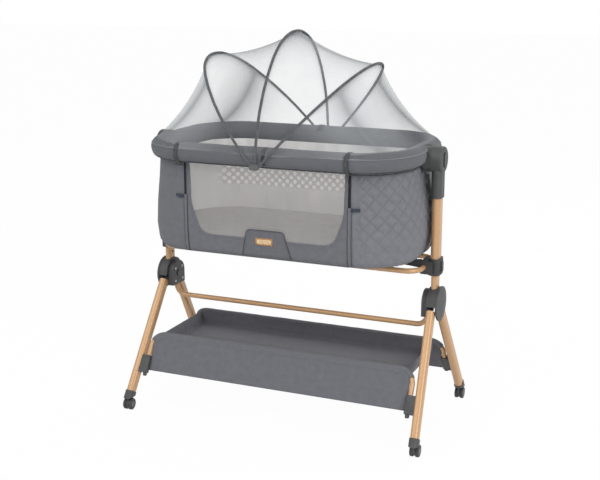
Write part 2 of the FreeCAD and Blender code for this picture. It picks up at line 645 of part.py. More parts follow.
boss_room = rod(V(BOSS_X - SOFT_GAP, 0, PIVOT_Z), V(MAST_X, 0, PIVOT_Z), BOSS_RADIUS + SOFT_GAP)
boss_room = boss_room.fuse(mirror_x(boss_room))
rail_room = ring_solid(RAIL_RADIUS + SOFT_GAP)
drop_zone = box(-SIDE_X, SIDE_X, -FAR, -RAIL_BEND, 0, FAR + RAIL_Z)
side_gap = box(-SIDE_X - DROP_GAP, SIDE_X + DROP_GAP, -FAR, -RAIL_BEND, 0, FAR + RAIL_Z)

rail_all = ring_solid(RAIL_RADIUS)
rail_bar = ring_solid(RAIL_BAR_RADIUS)
rail_bore = ring_solid(RAIL_BAR_RADIUS + SOFT_GAP)
rail_pad = rail_all.cut(rail_bore).cut(boss_room).cut(side_gap)
rail_front = rail_all.common(drop_zone)
save("rail_pad", rail_pad)
save("rail_bar", rail_bar.cut(side_gap).cut(boss_room))
save("rail_front", rail_front)

skirt_outer = skirt_solid(0, BASE_Z, SKIRT_TOP_Z)
skirt_inner = skirt_solid(SKIRT_WALL, BASE_Z - 1, SKIRT_TOP_Z + 1)
skirt_wall = skirt_outer.cut(skirt_inner).cut(rail_room).cut(boss_room)
skirt_wall = skirt_wall.cut(box(-FAR, FAR, -FAR, FAR, RAIL_Z - RAIL_RADIUS / 2, RAIL_Z + RAIL_RADIUS))


def window(grow, side):
    """Prism through one long side: the see-through window with its drawn-in foot."""
    low = WINDOW_BOTTOM_Z - grow
    half = [(WINDOW_LOW_HALF + grow, low), (WINDOW_SHOULDER_HALF + grow, WINDOW_SHOULDER_Z),
            (WINDOW_TOP_HALF + grow, WINDOW_TOP_Z + grow)]
    outline = [V(x, 0, z) for x, z in half] + [V(-x, 0, z) for x, z in reversed(half)]
    face = Part.Face(Part.makePolygon(outline + outline[:1]))
    prism = face.extrude(V(0, FAR, 0))
    prism = prism.makeFillet(WINDOW_CORNER, [e for e in prism.Edges
                                             if abs(e.CenterOfMass.y - FAR / 2) < 1
                                             and e.CenterOfMass.z < WINDOW_BOTTOM_Z + 5])
    return prism if side > 0 else mirror_y(prism)


half_wall = (SKIRT_WALL - MESH_THICKNESS) / 2
mesh_core = skirt_solid(half_wall + MESH_THICKNESS, BASE_Z - 1, SKIRT_TOP_Z + 1)
mesh_sheet = skirt_solid(half_wall, BASE_Z, SKIRT_TOP_Z).cut(mesh_core)
long_side = box(-SIDE_X + DROP_GAP, SIDE_X - DROP_GAP, -FAR, -RAIL_BEND, 0, FAR)
front_panel = skirt_wall.common(long_side)
back_panel = skirt_wall.common(mirror_y(box(-SIDE_X, SIDE_X, -FAR, -RAIL_BEND, 0, FAR)))
save("front_panel", front_panel.cut(window(0, -1)))
save("front_mesh", mesh_sheet.common(window(-SEAT, -1)))
save("back_panel", back_panel.cut(window(0, 1)))
save("back_mesh", mesh_sheet.common(window(-SEAT, 1)))
end_right = skirt_wall.common(box(SIDE_X + SEAT, FAR, -FAR, FAR, 0, FAR))
save("skirt_right", end_right)
save("skirt_left", mirror_x(end_right))


def plan(z, inset):
    """Rounded outline inside the skirt at a height."""
    below = [lv for lv in SKIRT_LEVELS if lv[0] <= z][-1]
    above = [lv for lv in SKIRT_LEVELS if lv[0] > z][0]
    share = (z - below[0]) / (above[0] - below[0])
    x, y, r = (b + (a - b) * share for b, a in zip(below[1:], above[1:]))
    gap = SKIRT_WALL + inset
    return rounded_wire(x - gap, y - gap, r - gap, level(z))


base_top = BASE_Z + BASE_THICKNESS
base = Part.makeLoft([plan(BASE_Z, SOFT_GAP), plan(base_top, SOFT_GAP)], True, False)
save("base_board", base)
pad_low = base_top + SOFT_GAP
# inset from the skirt and height share of the mattress outline, foot to crown
MATTRESS_FORM = ((0.0, 16.0), (0.18, 2.0), (0.5, 0.0), (0.72, 4.0), (0.88, 22.0), (0.96, 70.0),
                 (1.0, 150.0))
wires = [plan(pad_low + share * MATTRESS_HEIGHT, MATTRESS_GAP + inset) for share, inset in MATTRESS_FORM]
save("mattress", Part.makeLoft(wires, True, True))


def side_strap():
    """Webbing strap with its buckle, between the basket's end and the upright."""
    strap = box(STRAP_X - STRAP_THICKNESS / 2, STRAP_X + STRAP_THICKNESS / 2, STRAP_Y - STRAP_WIDTH / 2,
                STRAP_Y + STRAP_WIDTH / 2, STRAP_LOW_Z, STRAP_TOP_Z)
    buckle = box(STRAP_X - BUCKLE_THICKNESS / 2, STRAP_X + BUCKLE_THICKNESS / 2,
                 STRAP_Y - BUCKLE_WIDTH / 2, STRAP_Y + BUCKLE_WIDTH / 2,
                 BUCKLE_Z - BUCKLE_HEIGHT / 2, BUCKLE_Z + BUCKLE_HEIGHT / 2)
    return strap.fuse(buckle).removeSplitter()


save("side_straps", side_strap(), mirror_x(side_strap()))


# ---- net and its bows ---------------------------------------------------------------
def arch_edges(half_width, height, share):
    """Half of a four-centred oval in the YZ plane: side, crown in three, side."""
    crown = share * half_width ** 2 / height
    a = half_width
    h = height - crown
    side = (a * a + h * h - crown * crown) / (2 * (a - crown))
    lean = math.atan2(h, side - a)
    edges = []

    def at(cy, cz, radius, angle):
        return V(0, cy + radius * math.cos(angle), cz + radius * math.sin(angle))

    def arc(cy, cz, radius, a0, a1):
        edges.append(Part.Arc(at(cy, cz, radius, a0), at(cy, cz, radius, (a0 + a1) / 2),
                              at(cy, cz, radius, a1)).toShape())

    arc(a - side, 0, side, 0, lean)
    step = (math.pi - 2 * lean) / 3
    for i in range(3):
        arc(0, h, crown, lean + i * step, lean + (i + 1) * step)
    arc(side - a, 0, side, math.pi - lean, math.pi)
    return edges


BOW_PLACES = {
    "left": (BOW_CENTRE_X - BOW_SPACING, -LEFT_BOW_TILT, LEFT_BOW_HEIGHT),
    "middle": (BOW_CENTRE_X, MIDDLE_BOW_TILT, MIDDLE_BOW_HEIGHT),
    "right": (BOW_CENTRE_X + BOW_SPACING, RIGHT_BOW_TILT, RIGHT_BOW_HEIGHT),
}


def lean_over(shape, x, tilt):
    shape.rotate(ORIGIN, Y_AXIS, tilt)
    shape.translate(V(x, 0, BOW_BASE_Z))
    return shape


def bow(name):
    """Fabric-covered rod with a flat eye at each end, on the clips' pins."""
    x, tilt, height = BOW_PLACES[name]
    path = Part.Wire(arch_edges(BOW_HALF_WIDTH, height, BOW_CROWN_SHARE))
    ring = Part.Wire(Part.Circle(V(0, BOW_HALF_WIDTH, 0), Z_AXIS, BOW_DIAMETER / 2).toShape())
    shape = path.makePipeShell([ring], True, False)
    for side in (-1, 1):
        eye = rod(V(0, side * (BOW_HALF_WIDTH - EYE_THICKNESS / 2), 0),
                  V(0, side * (BOW_HALF_WIDTH + EYE_THICKNESS / 2), 0), EYE_RADIUS)
        hole = rod(V(0, side * (BOW_HALF_WIDTH - 20), 0), V(0, side * (BOW_HALF_WIDTH + 20), 0),
                   CLIP_PIN_RADIUS + RUNNING)
        shape = shape.fuse(eye).cut(hole)
    return lean_over(shape.removeSplitter(), x, tilt)


def clip():
    """Plate outside the bow ends with a pin for each bow."""
    half = CLIP_WIDTH / 2
    plate = box(BOW_CENTRE_X - half, BOW_CENTRE_X + half, -CLIP_OUT - CLIP_THICKNESS, -CLIP_OUT,
                BOW_BASE_Z - CLIP_DROP, BOW_BASE_Z + CLIP_DROP)
    plate = plate.makeFillet(5, [e for e in plate.Edges if abs(e.CenterOfMass.y + CLIP_OUT
                                                               + CLIP_THICKNESS / 2) < 0.1])
    pins = [rod(V(x, -CLIP_OUT - 0.5, BOW_BASE_Z), V(x, -CLIP_OUT + BOW_DIAMETER, BOW_BASE_Z),
                CLIP_PIN_RADIUS) for x, _, _ in BOW_PLACES.values()]
    return plate.fuse(pins).removeSplitter()


def bow_band(name):
    """Closed thin band just inside a bow, as a wire for the net's loft."""
    x, tilt, height = BOW_PLACES[name]
    clear = BOW_DIAMETER / 2 + SOFT_GAP
    rings = []
    for inset in (clear, clear + NET_THICKNESS):
        rings.append(arch_edges(BOW_HALF_WIDTH - inset, height - inset, BOW_CROWN_SHARE))
    outer = Part.Wire(rings[0])
    inner = Part.Wire(rings[1])
    ends = [Part.LineSegment(V(0, s * (BOW_HALF_WIDTH - clear), 0),
                             V(0, s * (BOW_HALF_WIDTH - clear - NET_THICKNESS), 0)).toShape()
            for s in (1, -1)]
    wire = Part.Wire(Part.__sortEdges__(outer.Edges + [ends[1]] + inner.Edges + [ends[0]]))
    return lean_over(wire, x, tilt)


def hem_band(side):
    """Closed thin band round one end of the rail at the net's hem."""
    rings = []
    for grow in (NET_HEM_OUT + NET_THICKNESS, NET_HEM_OUT):
        x = RAIL_X + grow
        y = RAIL_Y + grow
        r = RAIL_BEND + grow
        x0 = BOW_SPACING + side * BOW_CENTRE_X
        diagonal = r * math.sqrt(0.5)
        rings.append([
            Part.LineSegment(V(x0, y, 0), V(x - r, y, 0)).toShape(),
            Part.Arc(V(x - r, y, 0), V(x - r + diagonal, y - r + diagonal, 0), V(x, y - r, 0)).toShape(),
            Part.LineSegment(V(x, y - r, 0), V(x, -y + r, 0)).toShape(),
            Part.Arc(V(x, -y + r, 0), V(x - r + diagonal, -y + r - diagonal, 0), V(x - r, -y, 0)).toShape(),
            Part.LineSegment(V(x - r, -y, 0), V(x0, -y, 0)).toShape()])
    ends = [Part.LineSegment(ring_a, ring_b).toShape() for ring_a, ring_b in (
        (rings[0][0].Vertexes[0].Point, rings[1][0].Vertexes[0].Point),
        (rings[0][-1].Vertexes[-1].Point, rings[1][-1].Vertexes[-1].Point))]
    wire = Part.Wire(Part.__sortEdges__(rings[0] + [ends[1]] + rings[1] + [ends[0]]))
    wire.translate(V(0, 0, NET_HEM_Z))
    return wire if side > 0 else wire.mirror(ORIGIN, X_AXIS)


def net_panel(first, second):
    """Sheer panel stretched between two bands, stopping at the rail it is hemmed to."""
    stretched = Part.makeLoft([first, second], True, True).cut(rail_room).cut(boss_room)
    return max(stretched.Solids, key=lambda piece: piece.Volume)


for bow_name in BOW_PLACES:
    save("bow_" + bow_name, bow(bow_name))
save("clip_front", clip())
save("clip_back", mirror_y(clip()))


# ---- storage tray -------------------------------------------------------------------
tray_way = V(0, leg_way.y, leg_way.z).normalize()
tray_out = V(0, tray_way.z, -tray_way.y)


def on_tray(z):
    """Point of the tray tube's slanted plane at a height."""
    along = (z - TRAY_TOP_Z) / tray_way.z
    return V(0, -TRAY_TOP_Y, TRAY_TOP_Z) + tray_way * along


def tray_tube():
    low = on_tray(TRAY_TUBE_LOW_Z)
    top = on_tray(TRAY_TOP_Z)
    side = V(TRAY_SIDE_X, 0, 0)
    return bent_tube([low - side, top - side, top + side, low + side], TRAY_BEND,
                     TRAY_TUBE_DIAMETER, TUBE_WALL)


def tray_bracket():
    """Clamp that joins one end of the tray tube to the leg's inboard face."""
    low = on_tray(BRACKET_LOW_Z)
    end = on_tray(TRAY_TUBE_LOW_Z)
    up = on_tray(TRAY_TOP_Z + 60)
    length = (BRACKET_TOP_Z - BRACKET_LOW_Z) / -tray_way.z
    turn = FreeCAD.Rotation(X_AXIS, tray_out, -tray_way, "ZXY")
    x = (BRACKET_INBOARD_X + BRACKET_OUTBOARD_X) / 2
    block = bar((BRACKET_OUTBOARD_X - BRACKET_INBOARD_X) / 2, BRACKET_DEPTH / 2, BRACKET_CORNER,
                FreeCAD.Placement(V(x, low.y, low.z), turn), length)
    block = block.cut(leg_bar(LEG_TOP_GAP, leg_length, SEAT))
    block = max(block.Solids, key=lambda s: s.Volume)
    block = block.cut(rod(V(TRAY_SIDE_X, end.y, end.z), V(TRAY_SIDE_X, up.y, up.z),
                          TRAY_TUBE_DIAMETER / 2 + SEAT))
    knob = rod(V(TRAY_SIDE_X, low.y, low.z + 4), V(TRAY_SIDE_X, low.y, low.z - LUG_DROP), LUG_RADIUS)
    return block.fuse(knob).removeSplitter()


def tray_panel():
    """Outer skirt of the tray, hanging in front of the tube."""
    top_out, top_z = TRAY_PANEL_TOP
    low_out, low_z = TRAY_PANEL_LOW
    up = V(0, low_out - top_out, top_z - low_z)
    height = up.Length
    up.normalize()
    out = V(0, -up.z, up.y)
    half = TRAY_PANEL_HALF
    corner = half - TRAY_PANEL_CORNER
    shoulder = height - TRAY_PANEL_CORNER
    middle = TRAY_PANEL_CORNER * math.sqrt(0.5)

    def at(x, along):
        return V(x, -low_out, low_z) + up * along

    edges = [Part.LineSegment(at(-half, 0), at(half, 0)).toShape(),
             Part.LineSegment(at(half, 0), at(half, shoulder)).toShape(),
             Part.Arc(at(half, shoulder), at(corner + middle, shoulder + middle),
                      at(corner, height)).toShape(),
             Part.LineSegment(at(corner, height), at(-corner, height)).toShape(),
             Part.Arc(at(-corner, height), at(-corner - middle, shoulder + middle),
                      at(-half, shoulder)).toShape(),
             Part.LineSegment(at(-half, shoulder), at(-half, 0)).toShape()]
    return Part.Face(Part.Wire(edges)).extrude(out * TRAY_PANEL_THICKNESS)


def tray_floor():
    """Shallow fabric trough between the two tray tubes."""
    top = TRAY_TOP_Z - TRAY_RIM_DROP
    wall = TRAY_FLOOR_THICKNESS
    corner = TRAY_FLOOR_CORNER

    def trough(inset, low):
        x = TRAY_INSIDE_X - inset
        y = TRAY_INSIDE_Y - inset
        wires = [rounded_wire(x - TRAY_TAPER, y - TRAY_TAPER, corner, level(low)),
                 rounded_wire(x, y, corner, level(top))]
        return Part.makeLoft(wires, True, True)

    return trough(-wall, TRAY_FLOOR_Z - wall).cut(trough(0, TRAY_FLOOR_Z)).cut(
        box(-FAR, FAR, -FAR, FAR, top - 0.5, FAR))


panel = tray_panel()
save("tray_tube_front", tray_tube())
save("tray_tube_back", mirror_y(tray_tube()))
save("tray_brackets_front", tray_bracket(), mirror_x(tray_bracket()))
save("tray_brackets_back", mirror_y(tray_bracket()), mirror_x(mirror_y(tray_bracket())))
save("tray_panel_front", panel)
save("tray_panel_back", mirror_y(panel))
save("tray_trough", tray_floor())

for side, name in ((-1, "left"), (1, "right")):
    end = net_panel(hem_band(side), bow_band(name))
    between = net_panel(bow_band(name), bow_band("middle"))
    save("net_" + name, end, between)
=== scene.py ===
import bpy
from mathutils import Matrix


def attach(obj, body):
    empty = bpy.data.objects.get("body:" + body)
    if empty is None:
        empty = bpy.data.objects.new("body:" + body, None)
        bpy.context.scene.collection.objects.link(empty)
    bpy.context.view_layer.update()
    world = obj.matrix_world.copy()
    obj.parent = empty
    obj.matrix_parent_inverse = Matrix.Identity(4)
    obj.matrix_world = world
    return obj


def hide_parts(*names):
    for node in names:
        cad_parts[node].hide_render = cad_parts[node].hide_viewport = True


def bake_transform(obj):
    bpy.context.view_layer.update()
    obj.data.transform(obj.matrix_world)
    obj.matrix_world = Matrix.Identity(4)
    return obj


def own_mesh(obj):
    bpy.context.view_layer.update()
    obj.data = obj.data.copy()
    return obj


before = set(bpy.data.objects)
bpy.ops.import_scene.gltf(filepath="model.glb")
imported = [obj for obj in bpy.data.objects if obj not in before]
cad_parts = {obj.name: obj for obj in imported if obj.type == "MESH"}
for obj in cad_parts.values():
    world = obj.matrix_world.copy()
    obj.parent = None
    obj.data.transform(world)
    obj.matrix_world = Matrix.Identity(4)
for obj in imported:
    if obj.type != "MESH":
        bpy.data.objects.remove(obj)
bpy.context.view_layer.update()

import math

import bmesh
import bpy
import numpy as np
from bpy.props import FloatProperty, FloatVectorProperty, PointerProperty
from mathutils import Matrix, Vector, noise

bl_info = {
    "name": "Bedside sleeper crib",
    "version": (1, 0, 0),
    "blender": (4, 5, 0),
    "location": "3D View > Sidebar > Crib",
    "description": "Dresses the frame of a bedside sleeper crib in linen, mesh, net, paint and plastic",
    "category": "Object",
}

# ---- sizes shared with the frame, in metres -----------------------------------------
RAIL_X, RAIL_Y, RAIL_Z = 0.380, 0.228, 0.800
RAIL_BEND = 0.150
ZIP_X = 0.245
ENDS = ((1, "right"), (-1, "left"))
WALL_LOW, WALL_TOP, WALL_DEPTH = 0.5085, 0.797, 0.0045
WALL_FACE_Y = -0.2130                   # outer face of the drop side's wall
BOW_X, BOW_STEP = -0.005, 0.010
BOW_HALF, BOW_FOOT_Z, BOW_CROWN = 0.264, 0.779, 1.07
BOWS = {"left": (BOW_X - BOW_STEP, -40.4, 0.368),
        "middle": (BOW_X, 1.5, 0.349),
        "right": (BOW_X + BOW_STEP, 42.5, 0.358)}
# height, half length, half width and corner radius of the basket's outside
SKIRT = np.array(((0.508, 0.386, 0.200, 0.150), (0.522, 0.397, 0.209, 0.158),
                  (0.570, 0.406, 0.213, 0.165), (0.638, 0.402, 0.213, 0.163),
                  (0.708, 0.390, 0.213, 0.158), (0.790, 0.377, 0.213, 0.150)))
PIVOT_Z, BOSS_X, BOSS_RADIUS = 0.787, 0.3883, 0.035
TRAY_TOP = (0.133, 0.213)
TRAY_SLOPE = (0.5232, -0.8522)          # down its slanted plane, outwards and upwards
TRAY_SIDE_X, TRAY_BEND = 0.417, 0.042
TRAY_PANEL = ((0.1402, 0.2165), (0.1862, 0.1125))
TRAY_HALF, TRAY_CORNER = 0.409, 0.036
WHEELS = (("front_right", 0.450, -0.221), ("front_left", -0.450, -0.239),
          ("back_right", 0.450, 0.239), ("back_left", -0.450, 0.239))


# ---- shader maths -------------------------------------------------------------------
class Value:
    """A number or colour socket, with arithmetic that adds its Math nodes."""

    def __init__(self, paint, socket):
        self.paint = paint
        self.socket = socket

    def math(self, operation, *others, clamp=False):
        inputs = {i: other for i, other in enumerate((self,) + others)}
        return self.paint.node("ShaderNodeMath", inputs, operation=operation, use_clamp=clamp)

    def __add__(self, other): return self.math("ADD", other)
    def __radd__(self, other): return self.math("ADD", other)
    def __mul__(self, other): return self.math("MULTIPLY", other)
    def __rmul__(self, other): return self.math("MULTIPLY", other)
    def __sub__(self, other): return self.math("SUBTRACT", other)
    def __rsub__(self, other): return (self * -1.0).math("ADD", other)
    def __truediv__(self, other): return self.math("DIVIDE", other)
    def sine(self): return self.math("SINE")
    def size(self): return self.math("ABSOLUTE")
    def most(self, other): return self.math("MAXIMUM", other)
    def clamped(self): return self.math("ADD", 0.0, clamp=True)

    def wave(self, pitch):
        """Sine with one full turn to each pitch."""
        return (self * (2 * math.pi / pitch)).sine()

    def ramp(self, low, high, to_low=0.0, to_high=1.0):
        """Smooth step of this value from low..high to to_low..to_high."""
        return self.paint.node("ShaderNodeMapRange", {"Value": self, "From Min": low, "From Max": high,
                                                      "To Min": to_low, "To Max": to_high},
                               interpolation_type="SMOOTHSTEP")


class Paint:
    """One material: a Principled shader and the nodes that vary it."""

    def __init__(self, name, color, roughness=0.8, metallic=0.0, **fixed):
        self.material = bpy.data.materials.new("look_" + name)
        self.material.use_nodes = True
        self.tree = self.material.node_tree
        self.tree.nodes.clear()
        self.output = self.tree.nodes.new("ShaderNodeOutputMaterial")
        self.shader = self.tree.nodes.new("ShaderNodeBsdfPrincipled")
        self.tree.links.new(self.shader.outputs[0], self.output.inputs[0])
        self.material.diffuse_color = (*color[:3], 1.0)
        self.set("Base Color", (*color[:3], 1.0))
        self.set("Roughness", roughness)
        self.set("Metallic", metallic)
        for name_of_socket, value in fixed.items():
            self.set(name_of_socket.replace("_", " ").title().replace("Ior", "IOR"), value)

    @classmethod
    def of(cls, material):
        """A material made before, to be worked on further."""
        paint = cls.__new__(cls)
        paint.material = material
        paint.tree = material.node_tree
        paint.output = next(node for node in paint.tree.nodes if node.type == "OUTPUT_MATERIAL")
        paint.shader = next(node for node in paint.tree.nodes if node.type == "BSDF_PRINCIPLED")
        return paint

    def set(self, socket, value):
        self.plug(self.shader.inputs[socket], value)

    def plug(self, socket, value):
        if isinstance(value, Value):
            self.tree.links.new(value.socket, socket)
        else:
            socket.default_value = value

    def node(self, kind, sockets=None, output=0, **settings):
        made = self.tree.nodes.new(kind)
        for key, value in settings.items():
            setattr(made, key, value)
        for key, value in (sockets or {}).items():
            self.plug(made.inputs[key], value)
        return Value(self, made.outputs[output])

    def place(self, scale=(1, 1, 1), uv=None):
        """Object coordinates, or a UV map in metres, stretched to a pattern's scale."""
        if uv:
            source = self.node("ShaderNodeUVMap", uv_map=uv)
        else:
            source = self.node("ShaderNodeTexCoord", output="Object")
        return self.node("ShaderNodeMapping", {"Vector": source, "Scale": scale})

    def noise(self, where, detail):
        return self.node("ShaderNodeTexNoise", {"Vector": where, "Scale": 1.0, "Detail": detail},
                         output="Fac")

    def parts(self, where):
        """The three numbers of a vector."""
        split = self.tree.nodes.new("ShaderNodeSeparateXYZ")
        self.plug(split.inputs[0], where)
        return [Value(self, out) for out in split.outputs]

    def attribute(self, name):
        return self.node("ShaderNodeAttribute", output="Fac", attribute_name=name)

    def mixed(self, factor, first, second):
        """Colour between two colours."""
        mix = self.tree.nodes.new("ShaderNodeMix")
        mix.data_type = "RGBA"
        for key, value in ((0, factor), (6, first), (7, second)):
            if isinstance(value, tuple) and len(value) == 3:
                value = (*value, 1.0)
            self.plug(mix.inputs[key], value)
        return Value(self, mix.outputs[2])

    def tinted(self, factor, color, dark, light):
        """Base colour that runs from a darker to a lighter shade of one colour."""
        self.set("Base Color", self.mixed(factor, shade(color, dark), shade(color, light)))

    def bump(self, height, distance, strength):
        self.set("Normal", self.node("ShaderNodeBump", {"Height": height, "Distance": distance,
                                                        "Strength": strength}))


def shade(color, by):
    return tuple(min(1.0, channel * by) for channel in color[:3])


def linen(name, color, contrast=1.0):
    """Heathered plain-weave linen: slubs along both threads over a mottled ground."""
    paint = Paint(name, color, roughness=0.92, sheen_weight=0.12, sheen_roughness=0.5,
                  specular_ior_level=0.2)
    along = paint.noise(paint.place((260, 2600, 1), "cloth"), 2.0)
    across = paint.noise(paint.place((2600, 260, 1), "cloth"), 2.0)
    mottle = paint.noise(paint.place((55, 55, 55), "cloth"), 3.0)
    threads = (along + across + mottle * 0.6) / 2.6
    tone = threads.ramp(0.5 - 0.16 / contrast, 0.5 + 0.16 / contrast)
    paint.tinted(tone, color, 0.84, 1.17)
    u, v, _ = paint.parts(paint.place(uv="cloth"))
    thread = 0.0011
    paint.bump(u.wave(thread) * v.wave(thread) * 0.5 + (along + across) * 0.9, 0.0005, 0.55)
    return paint.material


def quilted_linen(name, color):
    """Linen with painted shade along its quilting grooves, read from the piece; the darker line there also
    stands for the quilting stitch.
    """
    material = linen(name, color)
    paint = Paint.of(material)
    groove_shade_and_stitch = paint.attribute("groove_shade_and_stitch")
    ground = paint.shader.inputs["Base Color"].links[0].from_socket
    # painted shade: darker along the quilting grooves, where the stitch line also runs
    paint.set("Base Color", paint.mixed(groove_shade_and_stitch, Value(paint, ground), shade(color, 0.88)))
    return material


def painted_tube(color):
    """Satin champagne-gold lacquer with faint lengthwise draw lines."""
    paint = Paint("gold_lacquer", color, roughness=0.42, metallic=0.2, coat_weight=0.12,
                  coat_roughness=0.25)
    grain = paint.noise(paint.place((420, 420, 6)), 3.0)
    flecks = paint.noise(paint.place((900, 900, 900)), 1.0)
    tone = (grain * 0.8 + flecks * 0.2).ramp(0.35, 0.65)
    paint.tinted(tone, color, 0.92, 1.06)
    paint.set("Roughness", tone.ramp(0.0, 1.0, 0.4, 0.33))
    return paint.material


def moulded(name, color, roughness=0.55):
    """Moulded plastic with a fine spark-eroded texture."""
    paint = Paint(name, color, roughness=roughness)
    texture = paint.noise(paint.place((1500, 1500, 1500)), 2.0)
    wear = paint.noise(paint.place((30, 30, 30)), 2.0)
    paint.tinted(wear.ramp(0.3, 0.7), color, 0.9, 1.15)
    paint.set("Roughness", texture.ramp(0.3, 0.7, roughness - 0.07, roughness + 0.09))
    paint.bump(texture, 0.00006, 0.5)
    return paint.material


# ---- meshes -------------------------------------------------------------------------
def new_object(name, mesh):
    piece = bpy.data.objects.new(name, mesh)
    bpy.context.scene.collection.objects.link(piece)
    return piece


def finished(piece, finish, body, replaces=(), smooth=True):
    """Give a finished mesh its finish and its body, and hide the parts it replaces."""
    piece.data.materials.clear()
    piece.data.materials.append(paint_for(finish))
    for polygon in piece.data.polygons:
        polygon.use_smooth = smooth
    if body:
        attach(piece, body)
    if replaces:
        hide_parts(*replaces)
    return piece


def woven(name, rows, closed_u=False, closed_v=False, uv=None):
    """Sheet of quads through rows of points, with a UV map in metres along the cloth."""
    rows = np.asarray(rows, float)
    n, m = rows.shape[:2]
    points = rows.reshape(-1, 3)
    i_count = n if closed_v else n - 1
    j_count = m if closed_u else m - 1
    i, j = np.meshgrid(np.arange(i_count), np.arange(j_count), indexing="ij")
    i, j = i.ravel(), j.ravel()
    i2, j2 = (i + 1) % n, (j + 1) % m
    faces = np.stack([i * m + j, i * m + j2, i2 * m + j2, i2 * m + j], 1)
    mesh = bpy.data.meshes.new(name)
    mesh.from_pydata(points.tolist(), [], faces.tolist())
    if uv is None:
        step_u = np.linalg.norm(np.diff(rows, axis=1, append=rows[:, :1]), axis=2)
        step_v = np.linalg.norm(np.diff(rows, axis=0, append=rows[:1]), axis=2)
        u = np.concatenate([np.zeros((1,)), np.cumsum(step_u.mean(0))])
        v = np.concatenate([np.zeros((1,)), np.cumsum(step_v.mean(1))])
        corner_u = np.stack([u[j], u[j + 1], u[j + 1], u[j]], 1)
        corner_v = np.stack([v[i], v[i], v[i + 1], v[i + 1]], 1)
    else:
        flat = np.asarray(uv, float).reshape(-1, 2)
        corner_u, corner_v = flat[faces][..., 0], flat[faces][..., 1]
    layer = mesh.uv_layers.new(name="cloth")
    layer.data.foreach_set("uv", np.stack([corner_u, corner_v], 2).astype(np.float32).ravel())
    mesh.validate()
    return new_object(name, mesh)


def applied(piece):
    """The piece with its modifiers worked into a plain mesh."""
    graph = bpy.context.evaluated_depsgraph_get()
    mesh = bpy.data.meshes.new_from_object(piece.evaluated_get(graph))
    piece.modifiers.clear()
    piece.data = mesh
    return piece


def thickened(piece, depth, offset=-1.0):
    wall = piece.modifiers.new("wall", "SOLIDIFY")
    wall.thickness = depth
    wall.offset = offset
    wall.use_even_offset = False
    return applied(piece)


def points_of(piece):
    return np.array([v.co for v in piece.data.vertices])


def moved(piece, points):
    """The piece with its points set anew."""
    piece.data.vertices.foreach_set("co", points.ravel())
    return piece


def outward(piece):
    """Faces of a closed mesh turned to point outwards."""
    shape = bmesh.new()
    shape.from_mesh(piece.data)
    bmesh.ops.remove_doubles(shape, verts=shape.verts, dist=1e-6)
    bmesh.ops.recalc_face_normals(shape, faces=shape.faces)
    shape.to_mesh(piece.data)
    shape.free()
    return piece


def closed_ends(piece):
    """Fill a mesh's open ends with one face each."""
    shape = bmesh.new()
    shape.from_mesh(piece.data)
    bmesh.ops.holes_fill(shape, edges=[e for e in shape.edges if e.is_boundary], sides=0)
    shape.to_mesh(piece.data)
    shape.free()
    return piece


def smooth_path(points, count):
    """Even points along a Catmull-Rom curve through a route."""
    points = np.asarray(points, float)
    points = np.vstack([2 * points[:1] - points[1:2], points, 2 * points[-1:] - points[-2:-1]])
    fine = []
    for p0, p1, p2, p3 in zip(points, points[1:], points[2:], points[3:]):
        t = np.linspace(0, 1, 24, endpoint=False)[:, None]
        fine.append(0.5 * (2 * p1 + (p2 - p0) * t + (2 * p0 - 5 * p1 + 4 * p2 - p3) * t ** 2
                           + (3 * p1 - p0 - 3 * p2 + p3) * t ** 3))
    fine = np.vstack(fine + [points[-2:-1]])
    return even(fine, count)


def even(path, count):
    """Points spaced evenly along a polyline."""
    path = np.asarray(path, float)
    run = np.concatenate([[0], np.cumsum(np.linalg.norm(np.diff(path, axis=0), axis=1))])
    at = np.linspace(0, run[-1], count)
    return np.stack([np.interp(at, run, path[:, k]) for k in range(3)], 1)


def tangents(path, closed=False):
    if closed:
        way = np.roll(path, -1, 0) - np.roll(path, 1, 0)
    else:
        way = np.gradient(path, axis=0)
    return way / np.maximum(np.linalg.norm(way, axis=1, keepdims=True), 1e-12)


def swept(name, path, across, profile, closed=False):
    """Sweep a closed profile along a path; across is the profile's first axis at each point."""
    path = np.asarray(path, float)
    way = tangents(path, closed)
    side = across - way * np.sum(across * way, 1, keepdims=True)
    side /= np.maximum(np.linalg.norm(side, axis=1, keepdims=True), 1e-12)
    up = np.cross(way, side)
    profile = np.asarray(profile, float)
    if profile.ndim == 2:
        profile = np.repeat(profile[None], len(path), 0)
    rows = path[:, None] + side[:, None] * profile[..., :1] + up[:, None] * profile[..., 1:]
    piece = woven(name, rows, closed_u=True, closed_v=closed)
    return outward(piece if closed else closed_ends(piece))


def circle(radius, sides):
    turn = np.linspace(0, 2 * math.pi, sides, endpoint=False)
    return np.stack([radius * np.cos(turn), radius * np.sin(turn)], 1)


def strip(width, depth):
    """Profile of a flat strap with soft edges."""
    edge = depth / 2
    turn = np.linspace(-math.pi / 2, math.pi / 2, 5)
    right = np.stack([width / 2 - edge + edge * np.cos(turn), edge * np.sin(turn)], 1)
    return np.vstack([right, -right])


def cord_along(name, path, radius, sides=8):
    """Round piping, thread or rod along a path."""
    path = np.asarray(path, float)
    way = tangents(path)
    guide = np.tile([0.0, 0.0, 1.0], (len(path), 1))
    guide[np.abs(way[:, 2]) > 0.9] = (1.0, 0.0, 0.0)
    return swept(name, path, guide, circle(radius, sides))


def wrinkle(points, scale, seed=0.0):
    """Smooth noise from -1 to 1 at each point."""
    flat = np.asarray(points, float).reshape(-1, 3)
    values = [noise.noise(Vector((p[0] * scale + seed, p[1] * scale, p[2] * scale))) for p in flat]
    return np.array(values).reshape(np.asarray(points).shape[:-1])


